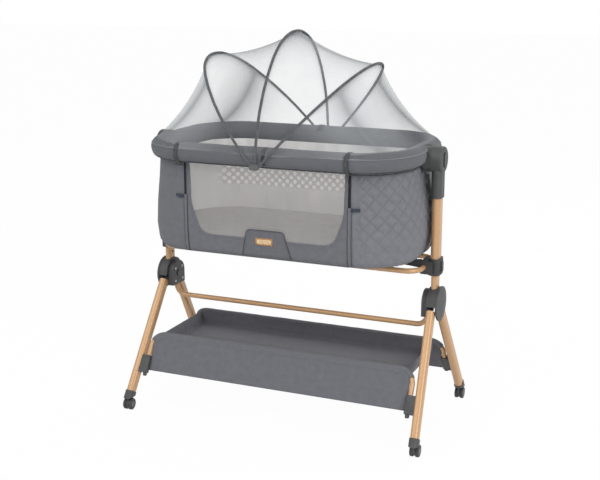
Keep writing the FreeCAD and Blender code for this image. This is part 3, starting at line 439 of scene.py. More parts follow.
# ---- outlines -----------------------------------------------------------------------
def rounded_loop(half_x, half_y, radius, count):
    """Rounded rectangle walked from (0, -half_y) towards +X, once round."""
    turn = np.linspace(0, math.pi / 2, 40)
    far_x, far_y = half_x - radius, half_y - radius
    corners = ((far_x, -far_y, -math.pi / 2), (far_x, far_y, 0),
               (-far_x, far_y, math.pi / 2), (-far_x, -far_y, math.pi))
    walk = [np.array([[0.0, -half_y]])]
    for x, y, base in corners:
        walk.append(np.stack([x + radius * np.cos(base + turn), y + radius * np.sin(base + turn)], 1))
    walk.append(np.array([[0.0, -half_y]]))
    walk = np.vstack(walk)
    walk = np.column_stack([walk, np.zeros(len(walk))])
    return even(walk, count)[:, :2]


def skirt_level(z):
    """Half length, half width and corner radius of the basket at a height, between its levels."""
    return [np.interp(z, SKIRT[:, 0], SKIRT[:, k]) for k in (1, 2, 3)]


def skirt_grid(x_from, x_to, z_rows, columns, inset=0.0):
    """Rows of points on the skirt, walked anticlockwise from above between two X places.

    Each place is (x, side): where the outline crosses that X on the front (-1) or back (1).
    """
    rows = []
    for z in z_rows:
        hx, hy, r = skirt_level(z)
        loop = rounded_loop(hx - inset, hy - inset, r - inset, 1601)[:-1]
        run = np.arange(len(loop))

        def crossing(place):
            x, side = place
            gap = np.abs(loop[:, 0] - x) + np.where(np.sign(loop[:, 1]) == side, 0, 9)
            return run[np.argmin(gap)]

        first, last = crossing(x_from), crossing(x_to)
        if last <= first:
            last += len(loop)
        walk = np.vstack([loop, loop])[first:last + 1]
        walk[0, 0], walk[-1, 0] = x_from[0], x_to[0]
        flat = even(np.column_stack([walk, np.full(len(walk), z)]), columns)
        rows.append(flat)
    return np.array(rows)


def row_normals(rows):
    """Outward normals of a skirt grid."""
    along = np.gradient(rows, axis=1)
    up = np.gradient(rows, axis=0)
    normal = np.cross(along, up)
    return normal / np.maximum(np.linalg.norm(normal, axis=2, keepdims=True), 1e-12)


def rail_path(count, x_stop):
    """Centre line of the top rail without its front, which begins and ends at x_stop."""
    loop = rounded_loop(RAIL_X, RAIL_Y, RAIL_BEND, 4001)
    loop = np.column_stack([loop, np.full(len(loop), RAIL_Z)])
    front = (loop[:, 1] < -RAIL_Y + 0.02) & (np.abs(loop[:, 0]) < x_stop)
    loop = loop[~front]
    loop[0, 0], loop[-1, 0] = x_stop, -x_stop
    return even(loop, count)


def arch(half_width, height, share, count):
    """Four-centred oval of a bow in its own plane, as (across, up) from front to back."""
    crown = share * half_width ** 2 / height
    rise = height - crown
    side = (half_width ** 2 + rise ** 2 - crown ** 2) / (2 * (half_width - crown))
    lean = math.atan2(rise, side - half_width)
    low = np.linspace(0, lean, 40)
    top = np.linspace(lean, math.pi - lean, 120)
    front = np.stack([half_width - side + side * np.cos(low), side * np.sin(low)], 1)
    crown_run = np.stack([crown * np.cos(top), rise + crown * np.sin(top)], 1)
    back = front[::-1] * (-1, 1)
    walk = np.vstack([front, crown_run[1:-1], back])
    walk = np.column_stack([-walk[:, 0], walk[:, 1], np.zeros(len(walk))])
    return even(walk, count)[:, :2]


def bow_path(name, count, inset=0.0):
    """A bow's centre line in space, from the drop side over to the back."""
    x, tilt, height = BOWS[name]
    flat = arch(BOW_HALF - inset, height - inset, BOW_CROWN, count)
    lean = math.radians(tilt)
    return np.stack([x + flat[:, 1] * math.sin(lean), flat[:, 0],
                     BOW_FOOT_Z + flat[:, 1] * math.cos(lean)], 1)


# ---- materials ----------------------------------------------------------------------
PAINTED_LIGHT_BAND = (0.629, 0.720)             # heights of the band of painted light: glowing spots that stand in for light through the far side


def see_through(paint, alpha):
    paint.set("Alpha", alpha)
    paint.material.surface_render_method = "BLENDED"
    return paint.material


def window_mesh(name, color, open_share):
    """Warp-knit mesh: faint vertical wales and small eyelets."""
    paint = Paint(name, color, roughness=0.75, specular_ior_level=0.2)
    u, v, _ = paint.parts(paint.place(uv="cloth"))
    wales = u.wave(0.0060) * 0.5 + 0.5
    drift = paint.noise(paint.place((60, 12, 1), uv="cloth"), 2.0)
    eyelet = (u.wave(0.0030) * v.wave(0.0030)).size()
    tone = (wales * 0.30 + drift * 0.70).ramp(0.2, 0.8)
    paint.tinted(tone, color, 0.90, 1.08)
    return see_through(paint, eyelet.ramp(0.0, 0.75, 1.0 - open_share * 1.35, 1.0 - open_share * 0.5))


def lining_with_painted_light(name, color, pitch):
    """Opaque spacer mesh with painted light: beside the far window, a band of white spots that glow stands in
    for light through larger eyelets, on a darker ground.
    """
    paint = Paint(name, color, roughness=0.8, specular_ior_level=0.2, emission_strength=0.16)
    x, y, z = paint.parts(paint.place())
    rising = (x + z).wave(2 * pitch).size()
    falling = (x - z).wave(2 * pitch).size()
    low, high = PAINTED_LIGHT_BAND
    # painted light: the band beside the far window where glowing spots stand in for light through eyelets
    painted_light_band = (z.ramp(low - 0.006, low + 0.006) * z.ramp(high - 0.006, high + 0.006, 1.0, 0.0)
           * x.size().ramp(0.32, 0.35, 1.0, 0.0) * y.ramp(0.10, 0.14))
    painted_light_spots = (rising * falling).ramp(0.25, 0.75) * painted_light_band
    drift = paint.noise(paint.place((28, 28, 9)), 2.0)
    ground = paint.mixed(drift.ramp(0.3, 0.7), shade(color, 0.93), shade(color, 1.06))
    # the ground is made darker in the band, around the painted light spots
    ground = paint.mixed(painted_light_band, ground, shade(color, 0.80))
    paint.set("Base Color", paint.mixed(painted_light_spots, ground, (0.98, 0.97, 0.96)))
    # painted light: the spots glow, though no lamp is behind them
    paint.set("Emission Color", paint.mixed(painted_light_spots, (0.0, 0.0, 0.0), (1.0, 1.0, 1.0)))
    fine = paint.noise(paint.place((800, 800, 800)), 1.0)
    paint.bump(fine, 0.0004, 0.4)
    return paint.material


def netting(name, color):
    """Sheer net, denser along its hems and where it is gathered."""
    paint = Paint(name, color, roughness=0.6, specular_ior_level=0.15)
    dense = paint.attribute("gather")
    haze = paint.noise(paint.place((18, 18, 7)), 2.0)
    thread = paint.noise(paint.place((700, 700, 700)), 1.0)
    cover = dense * 0.72 + haze.ramp(0.3, 0.7, 0.07, 0.11) + thread.ramp(0.3, 0.7, -0.012, 0.012)
    paint.set("Base Color", paint.mixed(dense.ramp(0.1, 0.9), color, shade(color, 0.5)))
    return see_through(paint, cover.clamped())


def plain_webbing(name, color, pitch=0.0016):
    """Ribbed strap or binding tape."""
    paint = Paint(name, color, roughness=0.85, sheen_weight=0.1, specular_ior_level=0.2)
    u, v, _ = paint.parts(paint.place(uv="cloth"))
    rib = u.wave(pitch) * v.wave(pitch)
    worn = paint.noise(paint.place((90, 90, 90), uv="cloth"), 2.0)
    paint.tinted(worn.ramp(0.3, 0.7), color, 0.8, 1.2)
    paint.bump(rib, 0.0003, 0.6)
    return paint.material


def brushed(name, color):
    """Plated steel with fine turning marks."""
    roughness = 0.3
    paint = Paint(name, color, roughness=roughness, metallic=1.0)
    marks = paint.noise(paint.place((500, 500, 90)), 2.0)
    paint.set("Roughness", marks.ramp(0.3, 0.7, roughness - 0.08, roughness + 0.12))
    paint.tinted(marks, color, 0.85, 1.05)
    return paint.material


def leather(name, color):
    """Grained leather patch with a mottled tone."""
    paint = Paint(name, color, roughness=0.6, specular_ior_level=0.35)
    grain = paint.noise(paint.place((700, 700, 700)), 3.0)
    worn = paint.noise(paint.place((140, 140, 140)), 2.0)
    paint.tinted(worn.ramp(0.3, 0.7), color, 0.84, 1.14)
    paint.bump(grain, 0.0002, 0.5)
    return paint.material


def knit(name, color):
    """Soft spacer knit of the mattress cover."""
    paint = Paint(name, color, roughness=0.9, sheen_weight=0.15, specular_ior_level=0.2)
    x, y, _ = paint.parts(paint.place())
    loops = x.wave(0.004) * y.wave(0.004)
    soft = paint.noise(paint.place((25, 25, 25)), 3.0)
    paint.tinted(soft.ramp(0.3, 0.7), color, 0.9, 1.08)
    paint.bump(loops, 0.0006, 0.6)
    return paint.material


def make_materials(colours):
    linen_color, gold, charcoal = tuple(colours.linen), tuple(colours.gold), tuple(colours.charcoal)
    linen("linen", linen_color)
    # painted light: the quilted end is a lit copy of the basket's linen, 1.22 times lighter; its grooves
    # carry painted shade
    quilted_linen("quilt_linen_painted_light_and_shade", shade(linen_color, 1.22))
    linen("rail_linen", tuple(colours.rail_linen), contrast=0.8)
    linen("tray_lining", shade(linen_color, 0.92), contrast=0.8)
    linen("patch_linen", shade(linen_color, 0.92))
    painted_tube(gold)
    moulded("charcoal", charcoal)
    moulded("collar_dark", shade(charcoal, 0.62))
    moulded("button_dark", shade(charcoal, 0.5), roughness=0.45)
    moulded("wheel_rubber", shade(charcoal, 0.62), roughness=0.6)
    moulded("wheel_cap_grey", shade(charcoal, 2.4), roughness=0.5)
    moulded("board", (0.30, 0.30, 0.30), roughness=0.8)
    moulded("pin_dark", shade(charcoal, 0.8), roughness=0.4)
    brushed("bright_steel", (0.62, 0.62, 0.63))
    window_mesh("near_mesh", tuple(colours.window), 0.58)
    window_mesh("far_mesh", tuple(colours.window), 0.10)
    lining_with_painted_light("lining_with_painted_light", tuple(colours.lining), 0.026)
    netting("sheer_net", tuple(colours.net))
    plain_webbing("sleeve_grey", tuple(colours.bow_sleeve))
    plain_webbing("webbing_dark", (0.030, 0.031, 0.034))
    plain_webbing("band_grey", (0.070, 0.071, 0.074))
    plain_webbing("band_dark", (0.048, 0.049, 0.052))
    plain_webbing("zip_dark", (0.022, 0.023, 0.030), pitch=0.0012)
    plain_webbing("tab_navy", (0.045, 0.050, 0.080))
    plain_webbing("piping_dark", shade(linen_color, 0.42), pitch=0.003)
    plain_webbing("thread_grey", shade(linen_color, 0.62))
    plain_webbing("thread_light", shade(linen_color, 1.9))
    leather("label_frame", tuple(colours.label_frame))
    leather("label_field", tuple(colours.label_field))
    knit("mattress_knit", (0.34, 0.33, 0.325))


FRAME_FINISH = {
    "gold_lacquer": ("leg_", "crossbar", "inner_uprights", "outer_upright", "cradle_tubes", "tray_tube"),
    "charcoal": ("hub_co", "front_knuckles", "back_knuckles", "front_leg_sockets", "back_leg_sockets",
                 "caster_fork", "cap_left", "cap_right", "pivot_bosses", "tray_brackets"),
    "collar_dark": ("collar_left", "collar_right"),
    "button_dark": ("cap_button", "collar_button"),
    "pin_dark": ("hub_pins",),
    "wheel_rubber": ("caster_wheels",),
    "board": ("base_board", "rail_bar"),
    "linen": ("front_panel", "back_panel", "skirt_", "tray_panel", "tray_trough"),
    "rail_linen": ("rail_front", "rail_pad"),
    "far_mesh": ("front_mesh", "back_mesh"),
    "mattress_knit": ("mattress",),
    "sheer_net": ("net_",),
    "sleeve_grey": ("bow_", "clip_"),
    "webbing_dark": ("side_straps",),
}


def paint_for(name):
    return bpy.data.materials["look_" + name]


def finish_frame():
    """Give every CAD node its finish, without touching its mesh."""
    for name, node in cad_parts.items():
        for finish, starts in FRAME_FINISH.items():
            if name.startswith(starts):
                node.data.materials.clear()
                node.data.materials.append(paint_for(finish))
                break


# ---- repeats ------------------------------------------------------------------------
STITCH = (0.0028, 0.0009, 0.0009)       # length, width and height of a stitch


class Repeat:
    """A node tree that sets one small shape many times along paths or on points."""

    def __init__(self, name, inputs):
        self.tree = bpy.data.node_groups.new(name, "GeometryNodeTree")
        socket = self.tree.interface.new_socket
        socket("Geometry", in_out="INPUT", socket_type="NodeSocketGeometry")
        for label, kind, default in inputs:
            made = socket(label, in_out="INPUT", socket_type="NodeSocket" + kind)
            if default is not None:
                made.default_value = default
        socket("Geometry", in_out="OUTPUT", socket_type="NodeSocketGeometry")
        self.entry = self.tree.nodes.new("NodeGroupInput")
        self.exit = self.tree.nodes.new("NodeGroupOutput")

    def node(self, kind, links=None, **settings):
        made = self.tree.nodes.new(kind)
        for key, value in settings.items():
            setattr(made, key, value)
        for key, value in (links or {}).items():
            if hasattr(value, "is_linked"):
                self.tree.links.new(value, made.inputs[key])
            else:
                made.inputs[key].default_value = value
        return made

    def given(self, label):
        return self.entry.outputs[label]

    def close(self, instances, finish):
        real = self.node("GeometryNodeRealizeInstances", {0: instances})
        painted = self.node("GeometryNodeSetMaterial", {"Geometry": real.outputs[0], "Material": finish})
        self.tree.links.new(painted.outputs[0], self.exit.inputs[0])
        return self.tree


def row_tree(name, shape):
    """Grains or teeth at an even pitch along polylines, their length along the path."""
    repeat = Repeat(name, (("Pitch", "Float", 0.004), ("Size", "Vector", (0.001, 0.001, 0.001)),
                           ("Unevenness", "Float", 0.08), ("Finish", "Material", None)))
    curve = repeat.node("GeometryNodeMeshToCurve", {"Mesh": repeat.given("Geometry")})
    spaced = repeat.node("GeometryNodeResampleCurve",
                         {"Curve": curve.outputs[0], "Length": repeat.given("Pitch")}, mode="LENGTH")
    way = repeat.node("GeometryNodeInputTangent")
    turn = repeat.node("FunctionNodeAlignRotationToVector", {"Vector": way.outputs[0]}, axis="X")
    if shape == "grain":
        unit = repeat.node("GeometryNodeMeshIcoSphere", {"Radius": 0.5, "Subdivisions": 1})
    else:
        unit = repeat.node("GeometryNodeMeshCube", {"Size": (1.0, 1.0, 1.0)})
    low = repeat.node("ShaderNodeMath", {0: 1.0, 1: repeat.given("Unevenness")}, operation="SUBTRACT")
    high = repeat.node("ShaderNodeMath", {0: 1.0, 1: repeat.given("Unevenness")}, operation="ADD")
    chance = repeat.node("FunctionNodeRandomValue", data_type="FLOAT")
    for key, value in (("Min", low), ("Max", high)):
        target = next(i for i in chance.inputs if i.name == key and i.type == "VALUE")
        repeat.tree.links.new(value.outputs[0], target)
    seed = next(i for i in chance.inputs if i.name == "Seed")
    seed.default_value = 7
    share = next(o for o in chance.outputs if o.type == "VALUE")
    size = repeat.node("ShaderNodeVectorMath", {0: repeat.given("Size"), "Scale": share}, operation="SCALE")
    placed = repeat.node("GeometryNodeInstanceOnPoints", {
        "Points": spaced.outputs[0], "Instance": unit.outputs[0], "Rotation": turn.outputs[0],
        "Scale": size.outputs[0]})
    return repeat.close(placed.outputs[0], repeat.given("Finish"))


def stud_tree(name):
    """Round heads with a hexagonal recess cap, standing on points that say which way they face."""
    repeat = Repeat(name, (("Radius", "Float", 0.003), ("Rise", "Float", 0.0015),
                           ("Finish", "Material", None), ("Middle", "Material", None)))
    facing = repeat.node("GeometryNodeInputNamedAttribute", {"Name": "facing"}, data_type="FLOAT_VECTOR")
    turn = repeat.node("FunctionNodeAlignRotationToVector", {"Vector": facing.outputs[0]}, axis="Z")
    head = repeat.node("GeometryNodeMeshCylinder", {"Vertices": 18, "Radius": repeat.given("Radius"),
                                                    "Depth": repeat.given("Rise")})
    inner = repeat.node("ShaderNodeMath", {0: repeat.given("Radius"), 1: 0.45}, operation="MULTIPLY")
    taller = repeat.node("ShaderNodeMath", {0: repeat.given("Rise"), 1: 1.15}, operation="MULTIPLY")
    middle = repeat.node("GeometryNodeMeshCylinder", {"Vertices": 6, "Radius": inner.outputs[0],
                                                      "Depth": taller.outputs[0]})
    both = repeat.node("GeometryNodeJoinGeometry")
    for part, finish in ((head, "Finish"), (middle, "Middle")):
        painted = repeat.node("GeometryNodeSetMaterial", {"Geometry": part.outputs["Mesh"],
                                                          "Material": repeat.given(finish)})
        repeat.tree.links.new(painted.outputs[0], both.inputs[0])
    placed = repeat.node("GeometryNodeInstanceOnPoints", {
        "Points": repeat.given("Geometry"), "Instance": both.outputs[0], "Rotation": turn.outputs[0]})
    real = repeat.node("GeometryNodeRealizeInstances", {0: placed.outputs[0]})
    repeat.tree.links.new(real.outputs[0], repeat.exit.inputs[0])
    return repeat.tree


def repeated(name, mesh, tree, values):
    """A plain mesh from one of the trees, with its named inputs set."""
    piece = new_object(name, mesh)
    maker = piece.modifiers.new("repeat", "NODES")
    maker.node_group = tree
    sockets = {item.name: item.identifier for item in tree.interface.items_tree if item.in_out == "INPUT"}
    for label, value in values.items():
        maker[sockets[label]] = value
    applied(piece)
    if not piece.data.polygons:
        raise RuntimeError(name + " came out empty")
    return piece


def rows_of(name, paths, tree, pitch, size, finish, body, unevenness=0.08):
    """Stitches or teeth along several paths, as one piece on one body."""
    points, edges = [], []
    for path in paths:
        start = len(points)
        points += [tuple(p) for p in path]
        edges += [(i, i + 1) for i in range(start, len(points) - 1)]
    mesh = bpy.data.meshes.new(name)
    mesh.from_pydata(points, edges, [])
    piece = repeated(name, mesh, bpy.data.node_groups[tree], {"Pitch": pitch, "Size": size,
                                                              "Unevenness": unevenness,
                                                              "Finish": paint_for(finish)})
    return finished(piece, finish, body)


def studs(name, places, radius, rise, body, finish="bright_steel", middle="pin_dark"):
    """Screw heads or caps at places, each with the way it faces."""
    mesh = bpy.data.meshes.new(name)
    mesh.from_pydata([tuple(place) for place, _ in places], [], [])
    layer = mesh.attributes.new("facing", "FLOAT_VECTOR", "POINT")
    layer.data.foreach_set("vector", np.array([facing for _, facing in places], np.float32).ravel())
    piece = repeated(name, mesh, bpy.data.node_groups["stud"],
                     {"Radius": radius, "Rise": rise, "Finish": paint_for(finish),
                      "Middle": paint_for(middle)})
    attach(piece, body)
    return piece


# ---- soft pieces --------------------------------------------------------------------
def puffed(piece, pressure, cap):
    """Fill a padded piece as cloth under air pressure, moving no point further than cap."""
    before = points_of(piece)
    cloth = piece.modifiers.new("cloth", "CLOTH")
    cloth.settings.quality = 6
    cloth.settings.mass = 0.3
    cloth.settings.tension_stiffness = cloth.settings.compression_stiffness = 20
    cloth.settings.shear_stiffness = 8
    cloth.settings.bending_stiffness = 0.6
    cloth.settings.use_pressure = True
    cloth.settings.uniform_pressure_force = pressure
    cloth.settings.effector_weights.gravity = 0
    cloth.collision_settings.use_collision = False
    for frame_number in range(1, 21):
        bpy.context.scene.frame_set(frame_number)
    applied(piece)
    bpy.context.scene.frame_set(1)
    move = points_of(piece) - before
    length = np.linalg.norm(move, axis=1, keepdims=True)
    return moved(piece, before + move * np.minimum(1.0, cap / np.maximum(length, 1e-9)))


def inward(path):
    """Level direction towards the middle of a loop walked anticlockwise."""
    way = tangents(path)
    return np.stack([-way[:, 1], way[:, 0], np.zeros(len(way))], 1)


def on_basket(x, z, side, out=0.0):
    """Point of the basket's wall on the drop side (-1) or the back (1)."""
    half_x, half_y, radius = skirt_level(z)
    past = abs(x) - (half_x - radius)
    y = half_y + out
    if past > 0:
        y = half_y - radius + math.sqrt(max((radius + out) ** 2 - past ** 2, 0.0))
    return (x, side * y, z)


PIPING_TURN = math.radians(-60)         # where the piping runs round the rail's section
RAIL_SKIN = 0.0288                      # radius of the stuffed rail


def rail_section():
    """Stuffed rail in section: rounder outside, a little flat where it lies on the wall."""
    turn = np.linspace(0, 2 * math.pi, 40, endpoint=False)
    radius = RAIL_SKIN * (1 - 0.012 * np.cos(3 * turn))
    return np.stack([-radius * np.cos(turn), radius * np.sin(turn)], 1)


def pucker(piece, path, depth):
    """Short gathers running up the rail from its piping seam, deeper round the ends."""
    points = points_of(piece)
    side = -inward(path)
    seam = path + side * RAIL_SKIN * math.cos(PIPING_TURN)
    seam[:, 2] += RAIL_SKIN * math.sin(PIPING_TURN)
    run = np.concatenate([[0], np.cumsum(np.linalg.norm(np.diff(path, axis=0), axis=1))])
    near = np.array([np.argmin(np.sum((path - p) ** 2, 1)) for p in points])
    gap = np.linalg.norm(points - seam[near], axis=1)
    bend = np.clip((np.abs(points[:, 0]) - 0.22) / 0.08, 0.35, 1.0)
    along = run[near] + 0.03 * wrinkle(points, 30, 7.0)
    gathers = wrinkle(np.stack([along * 2.4, gap * 0.35, gap * 0], 1), 75)
    broad = wrinkle(points, 16, 3.0)
    out = points - path[near]
    out /= np.maximum(np.linalg.norm(out, axis=1, keepdims=True), 1e-9)
    move = depth * bend * gathers * np.exp(-gap / 0.016) + 0.0009 * broad - 0.0035 * np.exp(-gap / 0.0035)
    return moved(piece, points + out * move[:, None])


def dented(piece):
    """Pad pressed in where the pivot boss stands against it."""
    points = points_of(piece)
    gap = np.hypot(points[:, 1], points[:, 2] - PIVOT_Z)
    keep = np.clip((gap - BOSS_RADIUS - 0.0016) / 0.010, 0, 1) ** 0.7
    limit = BOSS_X - 0.0008 + 0.023 * keep
    reach = np.abs(points[:, 0])
    points[:, 0] = np.sign(points[:, 0]) * np.where(gap < 0.06, np.minimum(reach, limit), reach)
    return moved(piece, points)


def build_rail():
    back = rail_path(430, ZIP_X + 0.0075)
    pad = swept("rail_padding", back, inward(back), rail_section())
    pad = dented(pucker(puffed(pad, 3.0, 0.002), back, 0.0034))
    finished(pad, "rail_linen", "basket", ["rail_pad"])
    front = np.stack([np.linspace(-ZIP_X - 0.0068, ZIP_X + 0.0068, 110), np.full(110, -RAIL_Y),
                      np.full(110, RAIL_Z)], 1)
    roll = swept("drop_side_rail", front, inward(front), rail_section())
    roll = pucker(puffed(roll, 3.0, 0.002), front, 0.0020)
    finished(roll, "rail_linen", "drop_side", ["rail_front"])
    for name, path, body in (("rail_piping", back, "basket"), ("drop_side_piping", front, "drop_side")):
        side = -inward(path)
        line = path + side * (RAIL_SKIN - 0.0006) * math.cos(PIPING_TURN)
        line[:, 2] += (RAIL_SKIN - 0.0006) * math.sin(PIPING_TURN)
        line[:, 2] += 0.0008 * wrinkle(line, 60)
        cord = cord_along(name, line, 0.0016)
        finished(cord, "piping_dark", body)


def quilt(rows, begin, finish, pitch):
    """Height of a diamond quilt over a skirt grid inside a plain border, and a mask along its grooves for
    painted shade and the stitch line.
    """
    steps = np.linalg.norm(np.diff(rows, axis=1, prepend=rows[:, :1]), axis=2)
    run = np.cumsum(steps, axis=1)
    run -= run[:, -1:] / 2
    reach = run[:, -1:]
    z = rows[..., 2] + 0.002 * wrinkle(rows, 14, 4.0)
    a = np.abs(np.sin(math.pi * (run + z) / pitch))
    b = np.abs(np.sin(math.pi * (run - z) / pitch))
    pillow = np.minimum(a, b) ** 0.6
    border = np.clip((run + reach - begin) / 0.012, 0, 1) * np.clip((reach - finish - run) / 0.012, 0, 1)
    low = np.clip((rows[..., 2] - 0.520) / 0.10, 0.35, 1.0) * np.clip((0.784 - rows[..., 2]) / 0.02, 0, 1)
    groove_shade_and_stitch = np.exp(-(np.minimum(a, b) / 0.16) ** 2) * border * low
    return pillow * border * low, groove_shade_and_stitch


def skirt_rows(x_from, x_to, columns, count):
    return skirt_grid(x_from, x_to, np.linspace(WALL_LOW, WALL_TOP, count), columns)


def cloth_wall(name, rows, lift, replaces, groove_shade_and_stitch=None):
    """An end of the basket's wall, lifted along its normals and given its thickness."""
    normal = row_normals(rows)
    wall = woven(name, rows + normal * lift[..., None])
    # the groove mask darkens the finish: painted shade in the grooves, partly the stitch line
    if groove_shade_and_stitch is not None:
        layer = wall.data.attributes.new("groove_shade_and_stitch", "FLOAT", "POINT")
        layer.data.foreach_set("value", groove_shade_and_stitch.ravel().astype(np.float32))
    thickened(wall, WALL_DEPTH)
    finish = "linen" if groove_shade_and_stitch is None else "quilt_linen_painted_light_and_shade"
    return finished(wall, finish, "basket", replaces)


def build_skirts():
    right = skirt_rows((ZIP_X + 0.0008, -1), (ZIP_X + 0.0008, 1), 340, count=120)
    sizes = bpy.context.scene.crib_sizes
    pillow, groove_shade_and_stitch = quilt(right, begin=0.022, finish=0.022, pitch=sizes.quilt_pitch)
    folds = wrinkle(right * (1.0, 1.0, 2.2), 13, 2.5)
    lift = sizes.quilt_depth * pillow + 0.0014 * folds + 0.0010 * wrinkle(right, 30, 1.0) - 0.0016
    quilted = cloth_wall("quilted_end", right, lift, ["skirt_right"], groove_shade_and_stitch)
    left = skirt_rows((-ZIP_X - 0.0008, 1), (-ZIP_X - 0.0008, -1), 200, count=60)
    full = np.interp(left[..., 2], (0.508, 0.535, 0.64, 0.72, 0.79), (0.0030, 0.0042, 0.0010, 0.0030, 0.0055))
    corner = 0.0065 * np.exp(-((left[..., 1] + 0.125) / 0.06) ** 2)
    away = np.clip((-left[..., 0] - 0.27) / 0.1, 0, 1)
    lift = 0.0014 * wrinkle(left, 8, 2.0) - 0.0006 + corner + full * away
    plain = cloth_wall("plain_end", left, lift, ["skirt_left"])
    for name, side, body, node in (("drop_side_wall", -1, "drop_side", "front_panel"),
                                   ("back_wall", 1, "basket", "back_panel")):
        wall = window_wall(name, side)
        finished(wall, "linen", body, [node])
        if body == "drop_side":
            fold_down(wall)


def fold_down(piece):
    """Give a piece of the drop side a mesh of its own."""
    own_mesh(piece)


def window_outline(count, grow=0.0):
    """Outline of the mesh window as (x, z), walked anticlockwise from its lower left corner."""
    low, shoulder, top = 0.194 + grow, 0.2305 + grow, 0.2360 + grow
    bottom_z, shoulder_z, top_z = 0.566 - grow, 0.650, 0.772 + grow
    corner = [(-shoulder, shoulder_z), (-low - 0.019, bottom_z + 0.033), (-low - 0.010, bottom_z + 0.014),
              (-low + 0.008, bottom_z + 0.003), (-low + 0.030, bottom_z), (-low + 0.062, bottom_z),
              (-low + 0.110, bottom_z), (-low + 0.160, bottom_z)]
    mirrored = [(-x, z) for x, z in corner[::-1]]
    walk = [(-top, top_z)] + [(-shoulder - 0.003, 0.700)] + corner + mirrored + [(shoulder + 0.003, 0.700)]
    curve = smooth_path([(x, z, 0) for x, z in walk + [(top, top_z)]], 400)
    loop = np.vstack([curve, curve[:1]])
    return even(loop, count + 1)[:-1, :2]


def stretch_between(points, marks, count):
    """Closed outline resampled so that each run between marked places gets its share of points."""
    nearest = sorted(int(np.argmin(np.sum((points - mark) ** 2, 1))) for mark in marks)
    runs = []
    for start, end, share in zip(nearest, nearest[1:] + [nearest[0] + len(points)], count):
        walk = np.vstack([points, points])[start:end + 1]
        runs.append(even(np.column_stack([walk, np.zeros(len(walk))]), share + 1)[:-1, :2])
    return np.vstack(runs)


def window_wall(name, side):
    """Linen wall with a window in it, as rings from its edge in to the window."""
    inner, outer = matched_edges(ZIP_X - 0.0008, WALL_LOW, WALL_TOP)
    rows = []
    for share in np.linspace(0, 1, 14) ** 0.8:
        flat = outer * (1 - share) + inner * share
        dips = 0.0014 * np.exp(-(np.linalg.norm(flat - inner, axis=1) / 0.004) ** 2)
        rows.append([on_basket(x, z, side, -dip) for (x, z), dip in zip(flat, dips)])
    rows = np.array(rows)
    if side > 0:
        rows = rows[::-1]
    wall = woven(name, rows, closed_u=True, uv=rows[..., [0, 2]])
    return thickened(wall, WALL_DEPTH)


def matched_edges(half, low, high):
    """Window outline and wall outline with the same number of points, corner matched to corner."""
    counts = (110, 150, 110, 150)
    window = window_outline(900)
    marks = [(-0.237, 0.772), (-0.209, 0.574), (0.209, 0.574), (0.237, 0.772)]
    corners = [(-half, high), (-half, low), (half, low), (half, high)]
    inner = stretch_between(window, [np.array(mark) for mark in marks], counts)
    runs = []
    for start, end, share in zip(corners, corners[1:] + corners[:1], counts):
        runs.append(np.linspace(start, end, share, endpoint=False))
    return inner, np.vstack(runs)


def window_half(z, outline):
    """Half width of the window at a height."""
    side = outline[outline[:, 0] > 0]
    order = np.argsort(side[:, 1])
    return np.interp(z, side[order, 1], side[order, 0])


def build_windows():
    for name, side, body, node, finish in (("drop_side_mesh", -1, "drop_side", "front_mesh", "near_mesh"),
                                           ("back_window_mesh", 1, "basket", "back_mesh", "far_mesh")):
        outline = window_outline(700, grow=0.004)
        rows = []
        for z in np.linspace(0.5635, 0.7755, 40):
            half = window_half(z, outline)
            drawn_in = 1 - ((z - 0.67) / 0.106) ** 2
            rows.append([on_basket(x, z, side, -0.0040 - 0.0026 * drawn_in * (1 - (x / half) ** 2))
                         for x in np.linspace(-half, half, 90)])
        rows = np.array(rows)
        screen = woven(name, rows, uv=rows[..., [0, 2]])
        outward_like(screen, (0, side, 0))
        finished(screen, finish, body, [node])
        if body == "drop_side":
            fold_down(screen)


def build_lining():
    """Light spacer mesh that lines the inside of the basket above the mattress."""
    rows = skirt_grid((ZIP_X + 0.004, -1), (-ZIP_X - 0.004, -1), np.linspace(0.556, 0.778, 34), 330,
                      inset=0.0092)
    rows += row_normals(rows) * (0.0012 * wrinkle(rows, 11, 8.0))[..., None]
    lining = woven("basket_lining", rows)
    # its finish carries a band of painted light: glowing spots beside the far window
    finished(lining, "lining_with_painted_light", "basket")


def cushion(name, half_x, half_y, radius, low, high, edge, crown):
    """Flat pad with rounded edges and a slightly crowned top, closed along its middle."""
    rows = []
    core = half_x - half_y

    def ring(inset, z):
        loop = rounded_loop(half_x - inset, half_y - inset, max(radius - inset, 0.01), 241)[:-1]
        rows.append(np.column_stack([loop, np.full(len(loop), z)]))

    def toward_core(share, z):
        loop = rounded_loop(half_x - edge, half_y - edge, radius - edge, 241)[:-1]
        middle = np.stack([np.clip(loop[:, 0], -core, core), np.zeros(len(loop))], 1)
        rows.append(np.column_stack([loop * (1 - share) + middle * share, np.full(len(loop), z)]))

    for share in np.linspace(1, 0.06, 18):
        toward_core(share, low)
    for turn in np.linspace(-math.pi / 2, math.pi / 2, 9):
        middle_z = (low + high) / 2
        tall = (high - low) / 2
        ring(edge * (1 - math.cos(turn)), middle_z + tall * math.sin(turn))
    for share in np.linspace(0.06, 1, 18):
        toward_core(share, high + crown * (1 - (1 - share) ** 2))
    return outward(woven(name, rows, closed_u=True))


def build_bed():
    pad = cushion("mattress_pad", half_x=0.386, half_y=0.196, radius=0.145, low=0.5215, high=0.5605,
                  edge=0.012, crown=0.0012)
    puffed(pad, 2.0, 0.0012)
    points = points_of(pad)
    points[:, 2] += 0.0007 * wrinkle(points, 14, 5.0)
    moved(pad, points)
    finished(pad, "mattress_knit", "basket", ["mattress"])


# ---- net and bows -------------------------------------------------------------------
HEM_OUT, HEM_Z = 0.0272, 0.813


